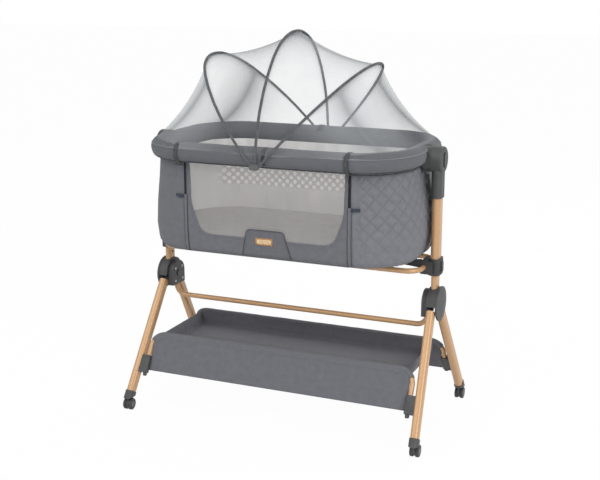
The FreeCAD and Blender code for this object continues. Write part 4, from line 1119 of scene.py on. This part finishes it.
def hem_line(side, count):
    """Net's hem round one end of the rail, from the drop side's clip to the back's."""
    loop = rounded_loop(RAIL_X + HEM_OUT, RAIL_Y + HEM_OUT, RAIL_BEND + HEM_OUT, 6001)
    stop = 0.012
    if side > 0:
        walk = loop[loop[:, 0] > stop]
    else:
        walk = loop[loop[:, 0] < -stop][::-1]
    return even(np.column_stack([walk, np.full(len(walk), HEM_Z)]), count)


def net_rows(first, second, count, sag, lean):
    """Taut net between two edges, drawn in towards the middle of the span."""
    rows = []
    for share in np.linspace(0, 1, count):
        row = first * (1 - share) + second * share
        pull = 4 * share * (1 - share) * sag
        row = row + np.array(lean) * pull
        rows.append(row)
    return np.array(rows)


def hem_corner():
    """Share of the hem's run at which it is half way round the rail's first corner."""
    straight = RAIL_X - RAIL_BEND
    bend = (RAIL_BEND + HEM_OUT) * math.pi / 2
    end = 2 * (RAIL_Y - RAIL_BEND)
    return (straight + bend / 2) / (2 * straight + 2 * bend + end)


def gather_marks(piece, rows_shape, ridges):
    """How closely the net's threads lie: along its edges and over a ridge at a share of its run."""
    n, m = rows_shape
    down = np.linspace(0, 1, n)[:, None]
    across = np.linspace(0, 1, m)[None, :]
    edge = 0.75 * np.exp(-down / 0.03) + 0.6 * np.exp(-(1 - down) / 0.03)
    near = np.min([np.abs(across - ridge) for ridge in ridges], axis=0)
    fold = (0.50 * np.exp(-(near / 0.11) ** 2) + 0.5 * np.exp(-near / 0.018)) * np.ones_like(down)
    value = np.clip(edge + fold, 0, 1).ravel()
    if len(value) != len(piece.data.vertices):
        raise RuntimeError(piece.name + " lost points before its gathers were set")
    layer = piece.data.attributes.new("gather", "FLOAT", "POINT")
    layer.data.foreach_set("value", value.astype(np.float32))


def build_net():
    count = 170
    middle = bow_path("middle", count, 0.004)
    for side, name in ((-1, "left"), (1, "right")):
        bow = bow_path(name, count, 0.004)
        hem = hem_line(side, count)
        rows = net_rows(bow, hem, 46, 0.020, (-side * 0.8, 0, -0.5))
        end_panel = woven("net_end_" + name, rows)
        gather_marks(end_panel, rows.shape[:2], (hem_corner(), 1 - hem_corner()))
        outward_like(end_panel, (side, 0, 0.6))
        finished(end_panel, "sheer_net", None, ["net_" + name])
        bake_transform(end_panel)
        rows = net_rows(middle, bow, 40, 0.016, (0, 0, -1.0))
        crown_panel = woven("net_crown_" + name, rows)
        gather_marks(crown_panel, rows.shape[:2], (0.5,))
        outward_like(crown_panel, (side * 0.3, 0, 1))
        finished(crown_panel, "sheer_net", name + "_bow")
        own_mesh(crown_panel)


def outward_like(piece, way):
    """Turn an open sheet over where its faces look the wrong way on the whole."""
    total = sum((p.normal * p.area for p in piece.data.polygons), Vector())
    if total.dot(Vector(way)) < 0:
        piece.data.flip_normals()


def build_bows():
    for name, body in (("left", "left_bow"), ("middle", "basket"), ("right", "right_bow")):
        path = bow_path(name, 260)
        path = path + 0.0004 * wrinkle(path, 40)[:, None]
        sleeve = cord_along("bow_sleeve_" + name, path, bpy.context.scene.crib_sizes.bow_radius, 14)
        finished(sleeve, "sleeve_grey", body, ["bow_" + name])


# ---- trims on the basket ------------------------------------------------------------
PATCH = ((0.5135, -0.073, 0.077), (0.592, -0.057, 0.055))      # height, left and right edge
LABEL = (-0.004, 0.5605, 0.0262, 0.0105)                       # centre and half sizes
ZIP_OPEN_Z, ZIP_TOP_Z, ZIP_LOW_Z = 0.677, 0.789, 0.511


def wall_strip(name, x_from, x_to, z_from, z_to, out, depth, finish, count=40):
    """Flat strip of cloth lying on the drop side's face of the basket."""
    rows = [[on_basket(x, z, -1, out) for x in np.linspace(x_from, x_to, 8)]
            for z in np.linspace(z_from, z_to, count)]
    piece = thickened(woven(name, rows), depth)
    return outward(finished(piece, finish, "basket"))


def up_wall(x, z_from, z_to, out, count):
    """Upright line on the drop side's face of the basket."""
    return [on_basket(x, z, -1, out) for z in np.linspace(z_from, z_to, count)]


def build_zips():
    teeth, seams = [], []
    tape, flap = 0.0033, 0.0050             # half widths
    for side, name in ENDS:
        middle = side * (ZIP_X + 0.0043)
        wall_strip("zip_tape_" + name, middle - tape, middle + tape, ZIP_OPEN_Z, ZIP_TOP_Z,
                   0.0012, 0.0012, "zip_dark")
        wall_strip("zip_flap_" + name, middle - flap, middle + flap, ZIP_LOW_Z, ZIP_OPEN_Z,
                   0.0016, 0.0016, "linen")
        wall_strip("zip_tab_" + name, middle + side * 0.0055, middle + side * 0.0290,
                   ZIP_OPEN_Z - 0.0085, ZIP_OPEN_Z - 0.0005, 0.0042, 0.0030, "tab_navy", count=6)
        teeth.append(up_wall(middle, ZIP_OPEN_Z + 0.002, ZIP_TOP_Z, 0.0016, 40))
        seams += [up_wall(middle + edge, ZIP_LOW_Z, ZIP_OPEN_Z, 0.0014, 60) for edge in (-flap, flap)]
    rows_of("zip_teeth", teeth, "tooth_row", 0.0023, (0.0012, 0.0014, 0.0030), "zip_dark", "basket",
            unevenness=0.0)
    for i, seam in enumerate(seams):
        finished(cord_along("zip_seam_%d" % i, seam, 0.0008, 6), "piping_dark", "basket")


def patch_edge(z):
    (z0, l0, r0), (z1, l1, r1) = PATCH
    share = (z - z0) / (z1 - z0)
    corner = 0.009
    drop = max(0.0, z - (z1 - corner))
    tuck = corner - math.sqrt(max(corner ** 2 - drop ** 2, 0.0))
    return l0 + (l1 - l0) * share + tuck, r0 + (r1 - r0) * share - tuck


def build_patch():
    heights = PATCH[0][0] + (PATCH[1][0] - PATCH[0][0]) * np.sin(np.linspace(0, math.pi / 2, 44))
    rows = []
    for z in heights:
        left, right = patch_edge(z)
        rows.append([on_basket(x, z, -1, 0.0016) for x in np.linspace(left, right, 60)])
    patch = woven("front_patch", rows)
    thickened(patch, 0.0030)
    finished(patch, "patch_linen", "drop_side")
    fold_down(patch)
    left = [on_basket(patch_edge(z)[0], z, -1, 0.0012) for z in heights]
    right = [on_basket(patch_edge(z)[1], z, -1, 0.0012) for z in heights]
    edge = even(np.array(left + right[::-1]), 300)
    rim = cord_along("patch_piping", edge, 0.0012, 8)
    finished(rim, "piping_dark", "drop_side")
    fold_down(rim)
    inner = even(np.array([(x * 0.93, y, 0.513 + (z - 0.513) * 0.955) for x, y, z in edge]), 200)
    inner[:, 1] -= 0.0008
    stitches = rows_of("patch_stitches", [inner], "stitch_row", 0.0042, STITCH, "thread_grey",
                       "drop_side")
    fold_down(stitches)
    centre_x, centre_z, half_x, half_z = LABEL
    for name, grow, out, finish in (("label_frame", 0.0, 0.0026, "label_frame"),
                                    ("label_field", -0.0042, 0.0031, "label_field")):
        plate = plaque(name, centre_x, centre_z, half_x + grow, half_z + grow, 0.0016, out)
        finished(plate, finish, "drop_side", smooth=False)
        fold_down(plate)
    border = rectangle(centre_x, centre_z, half_x - 0.0020, half_z - 0.0020, WALL_FACE_Y - 0.0030)
    stitches = rows_of("label_stitches", [border], "stitch_row", 0.0026,
                       (0.0016, 0.0005, 0.0005), "label_field", "drop_side")
    fold_down(stitches)


def rectangle(x, z, half_x, half_z, y):
    """Points round an upright rectangle."""
    corners = [(x + i * half_x, y, z + k * half_z) for i, k in ((-1, -1), (1, -1), (1, 1), (-1, 1), (-1, -1))]
    return even(corners, 80)


def plaque(name, x, z, half_x, half_z, corner, out):
    """Flat leather plate with rounded corners, standing upright on the patch."""
    loop = rounded_loop(half_x, half_z, corner, 65)[:-1]
    face = WALL_FACE_Y - out
    back = face + 0.0026
    rows = [[(x + px * share, y, z + pz * share) for px, pz in loop]
            for share, y in ((0.02, face), (0.96, face), (1.0, face + 0.0004), (1.0, back), (0.02, back))]
    return outward(closed_ends(woven(name, rows, closed_u=True)))


def rail_ring(name, x, start, end, radius, width, finish, body, side=-1):
    """Strap round the rail at one place along it, from one angle to another."""
    closed = end - start >= 360
    turn = np.radians(np.linspace(start, end, 73))
    if closed:
        turn = turn[:-1]
    reach = side * (RAIL_Y + radius * np.cos(turn))
    path = np.stack([np.full_like(turn, x), reach, RAIL_Z + radius * np.sin(turn)], 1)
    guide = np.tile([1.0, 0.0, 0.0], (len(path), 1))
    band = swept(name, path, guide, strip(width, 0.0012), closed=closed)
    return finished(band, finish, body)


def build_bands():
    for name, x in (("left", -0.2535), ("right", 0.2535)):
        rail_ring("rail_band_" + name, x, 0, 360, 0.0306, 0.0115, "band_grey", "basket")
    rail_ring("net_loop", 0.0150, -35, 78, 0.0300, 0.0110, "band_dark", "drop_side")
    rail_ring("net_loop_back", -0.008, 88, 150, 0.0306, 0.0190, "band_dark", "basket", side=1)
    for side, name, z, out, count, sway in ((1, "right", 0.7670, 0.0046, 260, 0.0010),
                                            (-1, "left", 0.7600, 0.0014, 200, 0.0)):
        x = side * (ZIP_X + 0.012)
        seam = skirt_grid((x, -side), (x, side), [z], count, inset=-out)[0]
        seam[:, 2] += sway * wrinkle(seam, 45)
        finished(cord_along(name + "_wall_seam", seam, 0.0010, 6), "piping_dark", "basket")


def window_edge(side, out, grow):
    outline = window_outline(260, grow)
    return [on_basket(x, z, side, out) for x, z in outline if z < 0.765]


def build_stitching():
    fixed, dropping = [], []
    for path, rows in ((rail_path(700, ZIP_X + 0.012), fixed),
                       (np.stack([np.linspace(-ZIP_X, ZIP_X, 200), np.full(200, -RAIL_Y),
                                  np.full(200, RAIL_Z)], 1), dropping)):
        side = -inward(path)
        turn = PIPING_TURN + math.radians(13)
        line = path + side * (RAIL_SKIN + 0.0012) * math.cos(turn)
        line[:, 2] += (RAIL_SKIN + 0.0012) * math.sin(turn)
        rows.append(line)
    rows_of("rail_stitches", fixed, "stitch_row", 0.0046, STITCH, "thread_grey", "basket")
    rows_of("drop_side_stitches", dropping, "stitch_row", 0.0046, STITCH, "thread_grey", "drop_side")
    for name, side, body in (("window_stitches", -1, "drop_side"), ("back_window_stitches", 1, "basket")):
        piece = rows_of(name, [window_edge(side, 0.0004, 0.006)], "stitch_row", 0.0044, STITCH, "thread_grey",
                        body)
        if body == "drop_side":
            fold_down(piece)


STRAP_Y, BUCKLE_Z = 0.030, 0.583        # side straps and the middle of their buckles
HUB_FACE_X, COLLAR_FACE_X = 0.4007, 0.3927


def build_straps():
    """Strap with a buckle down each end of the basket, and one from its floor to the collar."""
    for side, name in ENDS:
        heights = np.linspace(0.534, 0.738, 60)
        reach = np.array([skirt_level(z)[0] for z in heights]) + 0.0072
        route = np.stack([side * reach, np.full(60, STRAP_Y), heights], 1)
        web = swept("side_strap_" + name, route, np.tile([0.0, 1.0, 0.0], (60, 1)), strip(0.018, 0.0014))
        finished(web, "webbing_dark", "basket", ["side_straps"])
        frame_loop = rounded_loop(0.0145, 0.0165, 0.004, 49)[:-1]
        x = side * (skirt_level(BUCKLE_Z)[0] + 0.0095)
        ring = np.array([(x, STRAP_Y + y, BUCKLE_Z + z) for y, z in frame_loop])
        buckle = swept("side_buckle_" + name, ring, np.tile([1.0, 0.0, 0.0], (len(ring), 1)),
                       strip(0.0042, 0.0030), closed=True)
        finished(buckle, "button_dark", "basket")
    for side, name in ENDS:
        route = smooth_path([(side * 0.3985, -0.030, 0.4950), (side * 0.388, -0.042, 0.4975),
                             (side * 0.372, -0.056, 0.5010), (side * 0.350, -0.072, 0.5026)], 40)
        guide = np.tile([0.0, 0.0, 1.0], (len(route), 1))
        turn = np.radians(np.linspace(78, 4, len(route)))[:, None]
        flat = np.cross(tangents(route), guide) * np.cos(turn) + guide * np.sin(turn)
        strap = swept("floor_strap_" + name, route, flat, strip(0.024, 0.0016))
        finished(strap, "webbing_dark", "masts")


def build_fittings():
    """Screw heads on the hubs and collars, and the caps of the wheels."""
    hub = [((side * HUB_FACE_X, y, z), (-side, 0, 0)) for side in (1, -1)
           for y, z in ((0.020, 0.392), (-0.020, 0.392), (-0.022, 0.352), (0.022, 0.352))]
    studs("hub_screws", hub, radius=0.0034, rise=0.0018, body="stand")
    collar = [((side * COLLAR_FACE_X, y, 0.4835), (-side, 0, 0)) for side in (1, -1) for y in (-0.020, 0.020)]
    studs("collar_screws", collar, radius=0.0026, rise=0.0014, body="masts")
    for name, x, y in WHEELS:
        faces = [((x + way * 0.0126, y, 0.0175), (way, 0, 0)) for way in (1, -1)]
        studs("wheel_caps_" + name, faces, 0.0078, 0.0012, "wheels_" + name,
              finish="wheel_cap_grey", middle="charcoal")


# ---- tray ---------------------------------------------------------------------------
def build_tray():
    for side, name, legs in ((-1, "front", "front_legs"), (1, "back", "back_legs")):
        panel = tray_panel("tray_apron_" + name, side)
        finished(panel, "linen", legs, ["tray_panel_" + name])
        route = tray_route(side)
        route[:, 2] += 0.0005 * wrinkle(route, 40)
        guide = np.tile([0.0, side * -TRAY_SLOPE[1], TRAY_SLOPE[0]], (len(route), 1))
        sleeve = swept("tray_sleeve_" + name, route, guide, circle(0.0087, 18))
        finished(sleeve, "linen", legs)
        hem = tray_hem(side)
        stitches = rows_of("tray_stitches_" + name, [hem], "stitch_row", 0.0044, STITCH, "thread_grey",
                           legs)
        half = tray_trough("tray_trough_" + name, side)
        finished(half, "tray_lining", None, ["tray_trough"])
        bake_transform(half)


def tray_point(x, along, side):
    """Point of the tray tube's slanted plane, at a distance down it."""
    across, down = TRAY_SLOPE
    return (x, side * (TRAY_TOP[0] + across * along), TRAY_TOP[1] + down * along)


def tray_route(side):
    """Centre line of a tray tube's top and the start of its two bends, where the sleeve covers it."""
    turn = np.linspace(0, math.radians(62), 12)
    reach = TRAY_SIDE_X - TRAY_BEND
    right = [(reach + TRAY_BEND * math.sin(a), TRAY_BEND * (1 - math.cos(a))) for a in turn]
    flat = [(-x, along) for x, along in right[::-1]] + right
    return even(np.array([tray_point(x, along, side) for x, along in flat]), 220)


def tray_hem(side):
    """Seam under the tube's sleeve, on the apron's face."""
    turn = np.linspace(0, math.pi / 2, 12)
    inset, low = 0.012, 0.013
    reach, bend = TRAY_HALF - TRAY_CORNER, TRAY_CORNER - inset
    right = [(reach + bend * math.sin(a), low + bend * (1 - math.cos(a))) for a in turn]
    flat = [(-x, along) for x, along in right[::-1]] + right
    (top_y, top_z), (low_y, low_z) = TRAY_PANEL
    height = math.hypot(top_y - low_y, top_z - low_z)
    return even(np.array([(x, side * (top_y + (low_y - top_y) * along / height + 0.0006),
                           top_z + (low_z - top_z) * along / height + 0.0003) for x, along in flat]), 260)


def tray_panel(name, side):
    """Apron outside the tray tube, with rounded upper corners."""
    (top_y, top_z), (low_y, low_z) = TRAY_PANEL
    height = math.hypot(top_y - low_y, top_z - low_z)
    rows = []
    for share in np.linspace(0, 1, 34):
        drop = share * height
        reach = TRAY_HALF
        if drop < TRAY_CORNER:
            reach += math.sqrt(TRAY_CORNER ** 2 - (TRAY_CORNER - drop) ** 2) - TRAY_CORNER
        x = np.linspace(-reach, reach, 150)
        y = top_y + (low_y - top_y) * share
        z = top_z + (low_z - top_z) * share
        rows.append(np.stack([x, np.full_like(x, side * y), np.full_like(x, z)], 1))
    rows = np.array(rows)
    ripple = 0.0014 * wrinkle(rows, 7, 4.0) * np.sin(np.linspace(0, math.pi, len(rows)))[:, None]
    rows[..., 1] += side * ripple
    panel = woven(name, rows)
    outward_like(panel, (0, side, 0.3))
    return thickened(panel, 0.0028)


def tray_trough(name, side):
    """Half of the storage trough: its wall, the rounded fold at its foot, its floor and half its ends."""
    inside_x, inside_y, floor, top = 0.394, 0.1235, 0.1705, 0.2115
    fold = 0.010
    section = [(inside_y, top), (inside_y, floor + fold)]
    section += [(inside_y - fold * (1 - math.cos(a)), floor + fold * (1 - math.sin(a)))
                for a in np.linspace(0, math.pi / 2, 7)[1:]]
    section += [(y, floor) for y in np.linspace(inside_y - fold, 0, 24)[1:]]
    section = np.array(section)
    xs = np.linspace(-inside_x, inside_x, 170)
    rows = []
    for y, z in section:
        row = np.stack([xs, np.full_like(xs, side * y), np.full_like(xs, z)], 1)
        rise = np.clip((np.abs(xs) - (inside_x - 0.012)) / 0.012, 0, 1)
        row[:, 2] = np.maximum(row[:, 2], floor + (top - floor) * rise ** 2.2)
        rows.append(row)
    rows = np.array(rows)
    rows[..., 2] += 0.0016 * wrinkle(rows, 9, 6.0) * (rows[..., 2] < 0.18)
    trough = woven(name, rows)
    outward_like(trough, (0, 0, 1))
    return thickened(trough, 0.0026, offset=1.0)


# ---- stage --------------------------------------------------------------------------
CAMERA_PLACE = (1.2506, -2.8704, 1.2943)
CAMERA_TURN = (23.32, 13.94, -0.17)     # azimuth, elevation and roll in degrees
CAMERA_LENS = 65.25
FLOOR_Z, FLOOR_HALF = -0.0015, 20
# name, place, size in metres and power in watts
LAMPS = (("key_light", (-1.6, -2.8, 3.0), 2.2, 46), ("fill_light", (2.9, -1.9, 2.2), 2.4, 66),
         ("back_light", (0.6, 2.8, 2.6), 2.2, 26))
LAMP_AIM = (0, 0, 0.55)


def build_camera():
    azimuth, elevation, roll = (math.radians(a) for a in CAMERA_TURN)
    turn = (Matrix.Rotation(azimuth, 3, "Z") @ Matrix.Rotation(math.pi / 2 - elevation, 3, "X")
            @ Matrix.Rotation(roll, 3, "Z"))
    lens = bpy.data.cameras.new("camera")
    lens.lens = CAMERA_LENS
    lens.sensor_width = 36
    lens.clip_end = 60
    camera = new_object("camera", lens)
    camera.matrix_world = Matrix.Translation(CAMERA_PLACE) @ turn.to_4x4()
    bpy.context.scene.camera = camera


def backdrop(name):
    """White seen straight on and in gloss, and a pale matt surface for the light."""
    paint = Paint(name, (0.82, 0.82, 0.82), roughness=0.9)
    tree = paint.tree
    path = tree.nodes.new("ShaderNodeLightPath")
    seen = Value(paint, path.outputs["Is Camera Ray"])
    gloss = Value(paint, path.outputs["Is Glossy Ray"])
    through = Value(paint, path.outputs["Is Transmission Ray"])
    white = paint.node("ShaderNodeEmission", {"Color": (1, 1, 1, 1), "Strength": 1.0})
    return paint, seen.most(gloss).most(through), white


def build_stage():
    floor_mesh = bpy.data.meshes.new("floor")
    corners = ((-1, -1), (1, -1), (1, 1), (-1, 1))
    places = [(x * FLOOR_HALF, y * FLOOR_HALF, FLOOR_Z) for x, y in corners]
    floor_mesh.from_pydata(places, [], [(0, 1, 2, 3)])
    floor = new_object("floor", floor_mesh)
    paint, seen, white = backdrop("pale_floor")
    matt = Value(paint, paint.shader.outputs[0])
    mix = paint.node("ShaderNodeMixShader", {0: seen * 0.97, 1: matt, 2: white})
    paint.tree.links.new(mix.socket, paint.output.inputs[0])
    floor.data.materials.append(paint.material)
    world = bpy.data.worlds.new("studio")
    bpy.context.scene.world = world
    world.use_nodes = True
    nodes, links = world.node_tree.nodes, world.node_tree.links
    nodes.clear()
    out = nodes.new("ShaderNodeOutputWorld")
    path = nodes.new("ShaderNodeLightPath")
    soft = nodes.new("ShaderNodeBackground")
    plain = nodes.new("ShaderNodeBackground")
    mix = nodes.new("ShaderNodeMixShader")
    for light, strength in ((soft, 0.66), (plain, 1.0)):
        light.inputs["Color"].default_value = (1, 1, 1, 1)
        light.inputs["Strength"].default_value = strength
    links.new(path.outputs["Is Camera Ray"], mix.inputs[0])
    links.new(soft.outputs[0], mix.inputs[1])
    links.new(plain.outputs[0], mix.inputs[2])
    links.new(mix.outputs[0], out.inputs[0])
    for name, place, size, power in LAMPS:
        lamp = bpy.data.lights.new(name, "AREA")
        lamp.size = size
        lamp.energy = power
        holder = new_object(name, lamp)
        aim = Vector(LAMP_AIM) - Vector(place)
        holder.matrix_world = Matrix.Translation(place) @ aim.to_track_quat("-Z", "Y").to_matrix().to_4x4()
    build_camera()
    bpy.context.scene.view_settings.view_transform = "Standard"


# ---- add-on -------------------------------------------------------------------------
class CRIB_Sizes(bpy.types.PropertyGroup):
    """Sizes of the cloth and thread that a user may want to change."""
    quilt_pitch: FloatProperty(name="Quilt pitch", description="Across one diamond of the quilted end",
                               default=0.040, min=0.015, max=0.12, unit="LENGTH")
    quilt_depth: FloatProperty(name="Quilt depth", description="How far a diamond puffs out of its grooves",
                               default=0.0046, min=0.0, max=0.01, unit="LENGTH")
    bow_radius: FloatProperty(name="Bow radius", description="Half the thickness of a covered bow",
                              default=0.0038, min=0.002, max=0.006, unit="LENGTH")


def colour(name, description, default):
    return FloatVectorProperty(name=name, description=description, default=default, size=3, min=0.0, max=1.0,
                               subtype="COLOR")


class CRIB_Colours(bpy.types.PropertyGroup):
    """Colours of the finishes, as linear light."""
    linen: colour("Linen", "Heathered cloth of the basket and tray", (0.147, 0.150, 0.166))
    rail_linen: colour("Rail linen", "Cloth of the padded rail", (0.120, 0.123, 0.136))
    gold: colour("Lacquer", "Satin lacquer of the tubes", (0.535, 0.318, 0.160))
    charcoal: colour("Plastic", "Moulded joints, caps and casters", (0.060, 0.061, 0.062))
    window: colour("Window mesh", "Mesh of the drop side", (0.40, 0.387, 0.378))
    lining: colour("Lining", "Mesh that lines the basket", (0.84, 0.825, 0.805))
    net: colour("Net", "Sheer insect net", (0.46, 0.49, 0.51))
    bow_sleeve: colour("Bow sleeve", "Cloth over the bows", (0.105, 0.108, 0.116))
    label_frame: colour("Label border", "Leather border of the blank label", (0.36, 0.185, 0.080))
    label_field: colour("Label field", "Leather field of the blank label", (0.62, 0.45, 0.26))


class CRIB_OT_finishes(bpy.types.Operator):
    """Make the finishes and give them to the frame"""
    bl_idname = "crib.finishes"
    bl_label = "Finishes"

    def execute(self, context):
        make_materials(context.scene.crib_colours)
        finish_frame()
        row_tree("stitch_row", "grain")
        row_tree("tooth_row", "tooth")
        stud_tree("stud")
        return {"FINISHED"}


class CRIB_OT_rail(bpy.types.Operator):
    """Pad the top rail and its drop side"""
    bl_idname = "crib.rail"
    bl_label = "Padded rail"

    def execute(self, context):
        build_rail()
        return {"FINISHED"}


class CRIB_OT_skirts(bpy.types.Operator):
    """Make the linen walls of the basket"""
    bl_idname = "crib.skirts"
    bl_label = "Basket walls"

    def execute(self, context):
        build_skirts()
        return {"FINISHED"}


class CRIB_OT_windows(bpy.types.Operator):
    """Stretch the mesh windows and the lining"""
    bl_idname = "crib.windows"
    bl_label = "Mesh windows and lining"

    def execute(self, context):
        build_windows()
        build_lining()
        return {"FINISHED"}


class CRIB_OT_bed(bpy.types.Operator):
    """Lay the mattress pad"""
    bl_idname = "crib.bed"
    bl_label = "Mattress"

    def execute(self, context):
        build_bed()
        return {"FINISHED"}


class CRIB_OT_trims(bpy.types.Operator):
    """Add zips, patch, label, bands and stitching"""
    bl_idname = "crib.trims"
    bl_label = "Trims"

    def execute(self, context):
        build_zips()
        build_patch()
        build_bands()
        build_stitching()
        return {"FINISHED"}


class CRIB_OT_straps(bpy.types.Operator):
    """Add the straps down the basket's ends and under its floor"""
    bl_idname = "crib.straps"
    bl_label = "Straps"

    def execute(self, context):
        build_straps()
        return {"FINISHED"}


class CRIB_OT_fittings(bpy.types.Operator):
    """Set the screw heads and wheel caps"""
    bl_idname = "crib.fittings"
    bl_label = "Screws and caps"

    def execute(self, context):
        build_fittings()
        return {"FINISHED"}


class CRIB_OT_net(bpy.types.Operator):
    """Stretch the insect net over its bows"""
    bl_idname = "crib.net"
    bl_label = "Insect net"

    def execute(self, context):
        build_bows()
        build_net()
        return {"FINISHED"}


class CRIB_OT_tray(bpy.types.Operator):
    """Hang the storage tray's cloth"""
    bl_idname = "crib.tray"
    bl_label = "Storage tray"

    def execute(self, context):
        build_tray()
        return {"FINISHED"}


class CRIB_OT_stage(bpy.types.Operator):
    """Set the floor, the light and the camera"""
    bl_idname = "crib.stage"
    bl_label = "Stage"

    def execute(self, context):
        build_stage()
        return {"FINISHED"}


STEPS = (CRIB_OT_finishes, CRIB_OT_rail, CRIB_OT_skirts, CRIB_OT_windows, CRIB_OT_bed, CRIB_OT_trims,
         CRIB_OT_straps, CRIB_OT_fittings, CRIB_OT_net, CRIB_OT_tray, CRIB_OT_stage)


class CRIB_PT_panel(bpy.types.Panel):
    """Sizes, colours and steps of the crib"""
    bl_idname = "CRIB_PT_panel"
    bl_label = "Bedside crib"
    bl_space_type = "VIEW_3D"
    bl_region_type = "UI"
    bl_category = "Crib"

    def draw(self, context):
        for group in (context.scene.crib_sizes, context.scene.crib_colours):
            column = self.layout.column(align=True)
            for key in group.bl_rna.properties.keys():
                if key not in ("rna_type", "name"):
                    column.prop(group, key)
        for operator in STEPS:
            self.layout.operator(operator.bl_idname)


def register():
    for group in (CRIB_Sizes, CRIB_Colours, *STEPS, CRIB_PT_panel):
        bpy.utils.register_class(group)
    bpy.types.Scene.crib_sizes = PointerProperty(type=CRIB_Sizes)
    bpy.types.Scene.crib_colours = PointerProperty(type=CRIB_Colours)


def unregister():
    del bpy.types.Scene.crib_colours
    del bpy.types.Scene.crib_sizes
    for group in (CRIB_PT_panel, *reversed(STEPS), CRIB_Colours, CRIB_Sizes):
        bpy.utils.unregister_class(group)


def main():
    register()
    for operator in STEPS:
        getattr(bpy.ops.crib, operator.bl_idname.split(".")[1])()


if __name__ == "__main__":
    main()
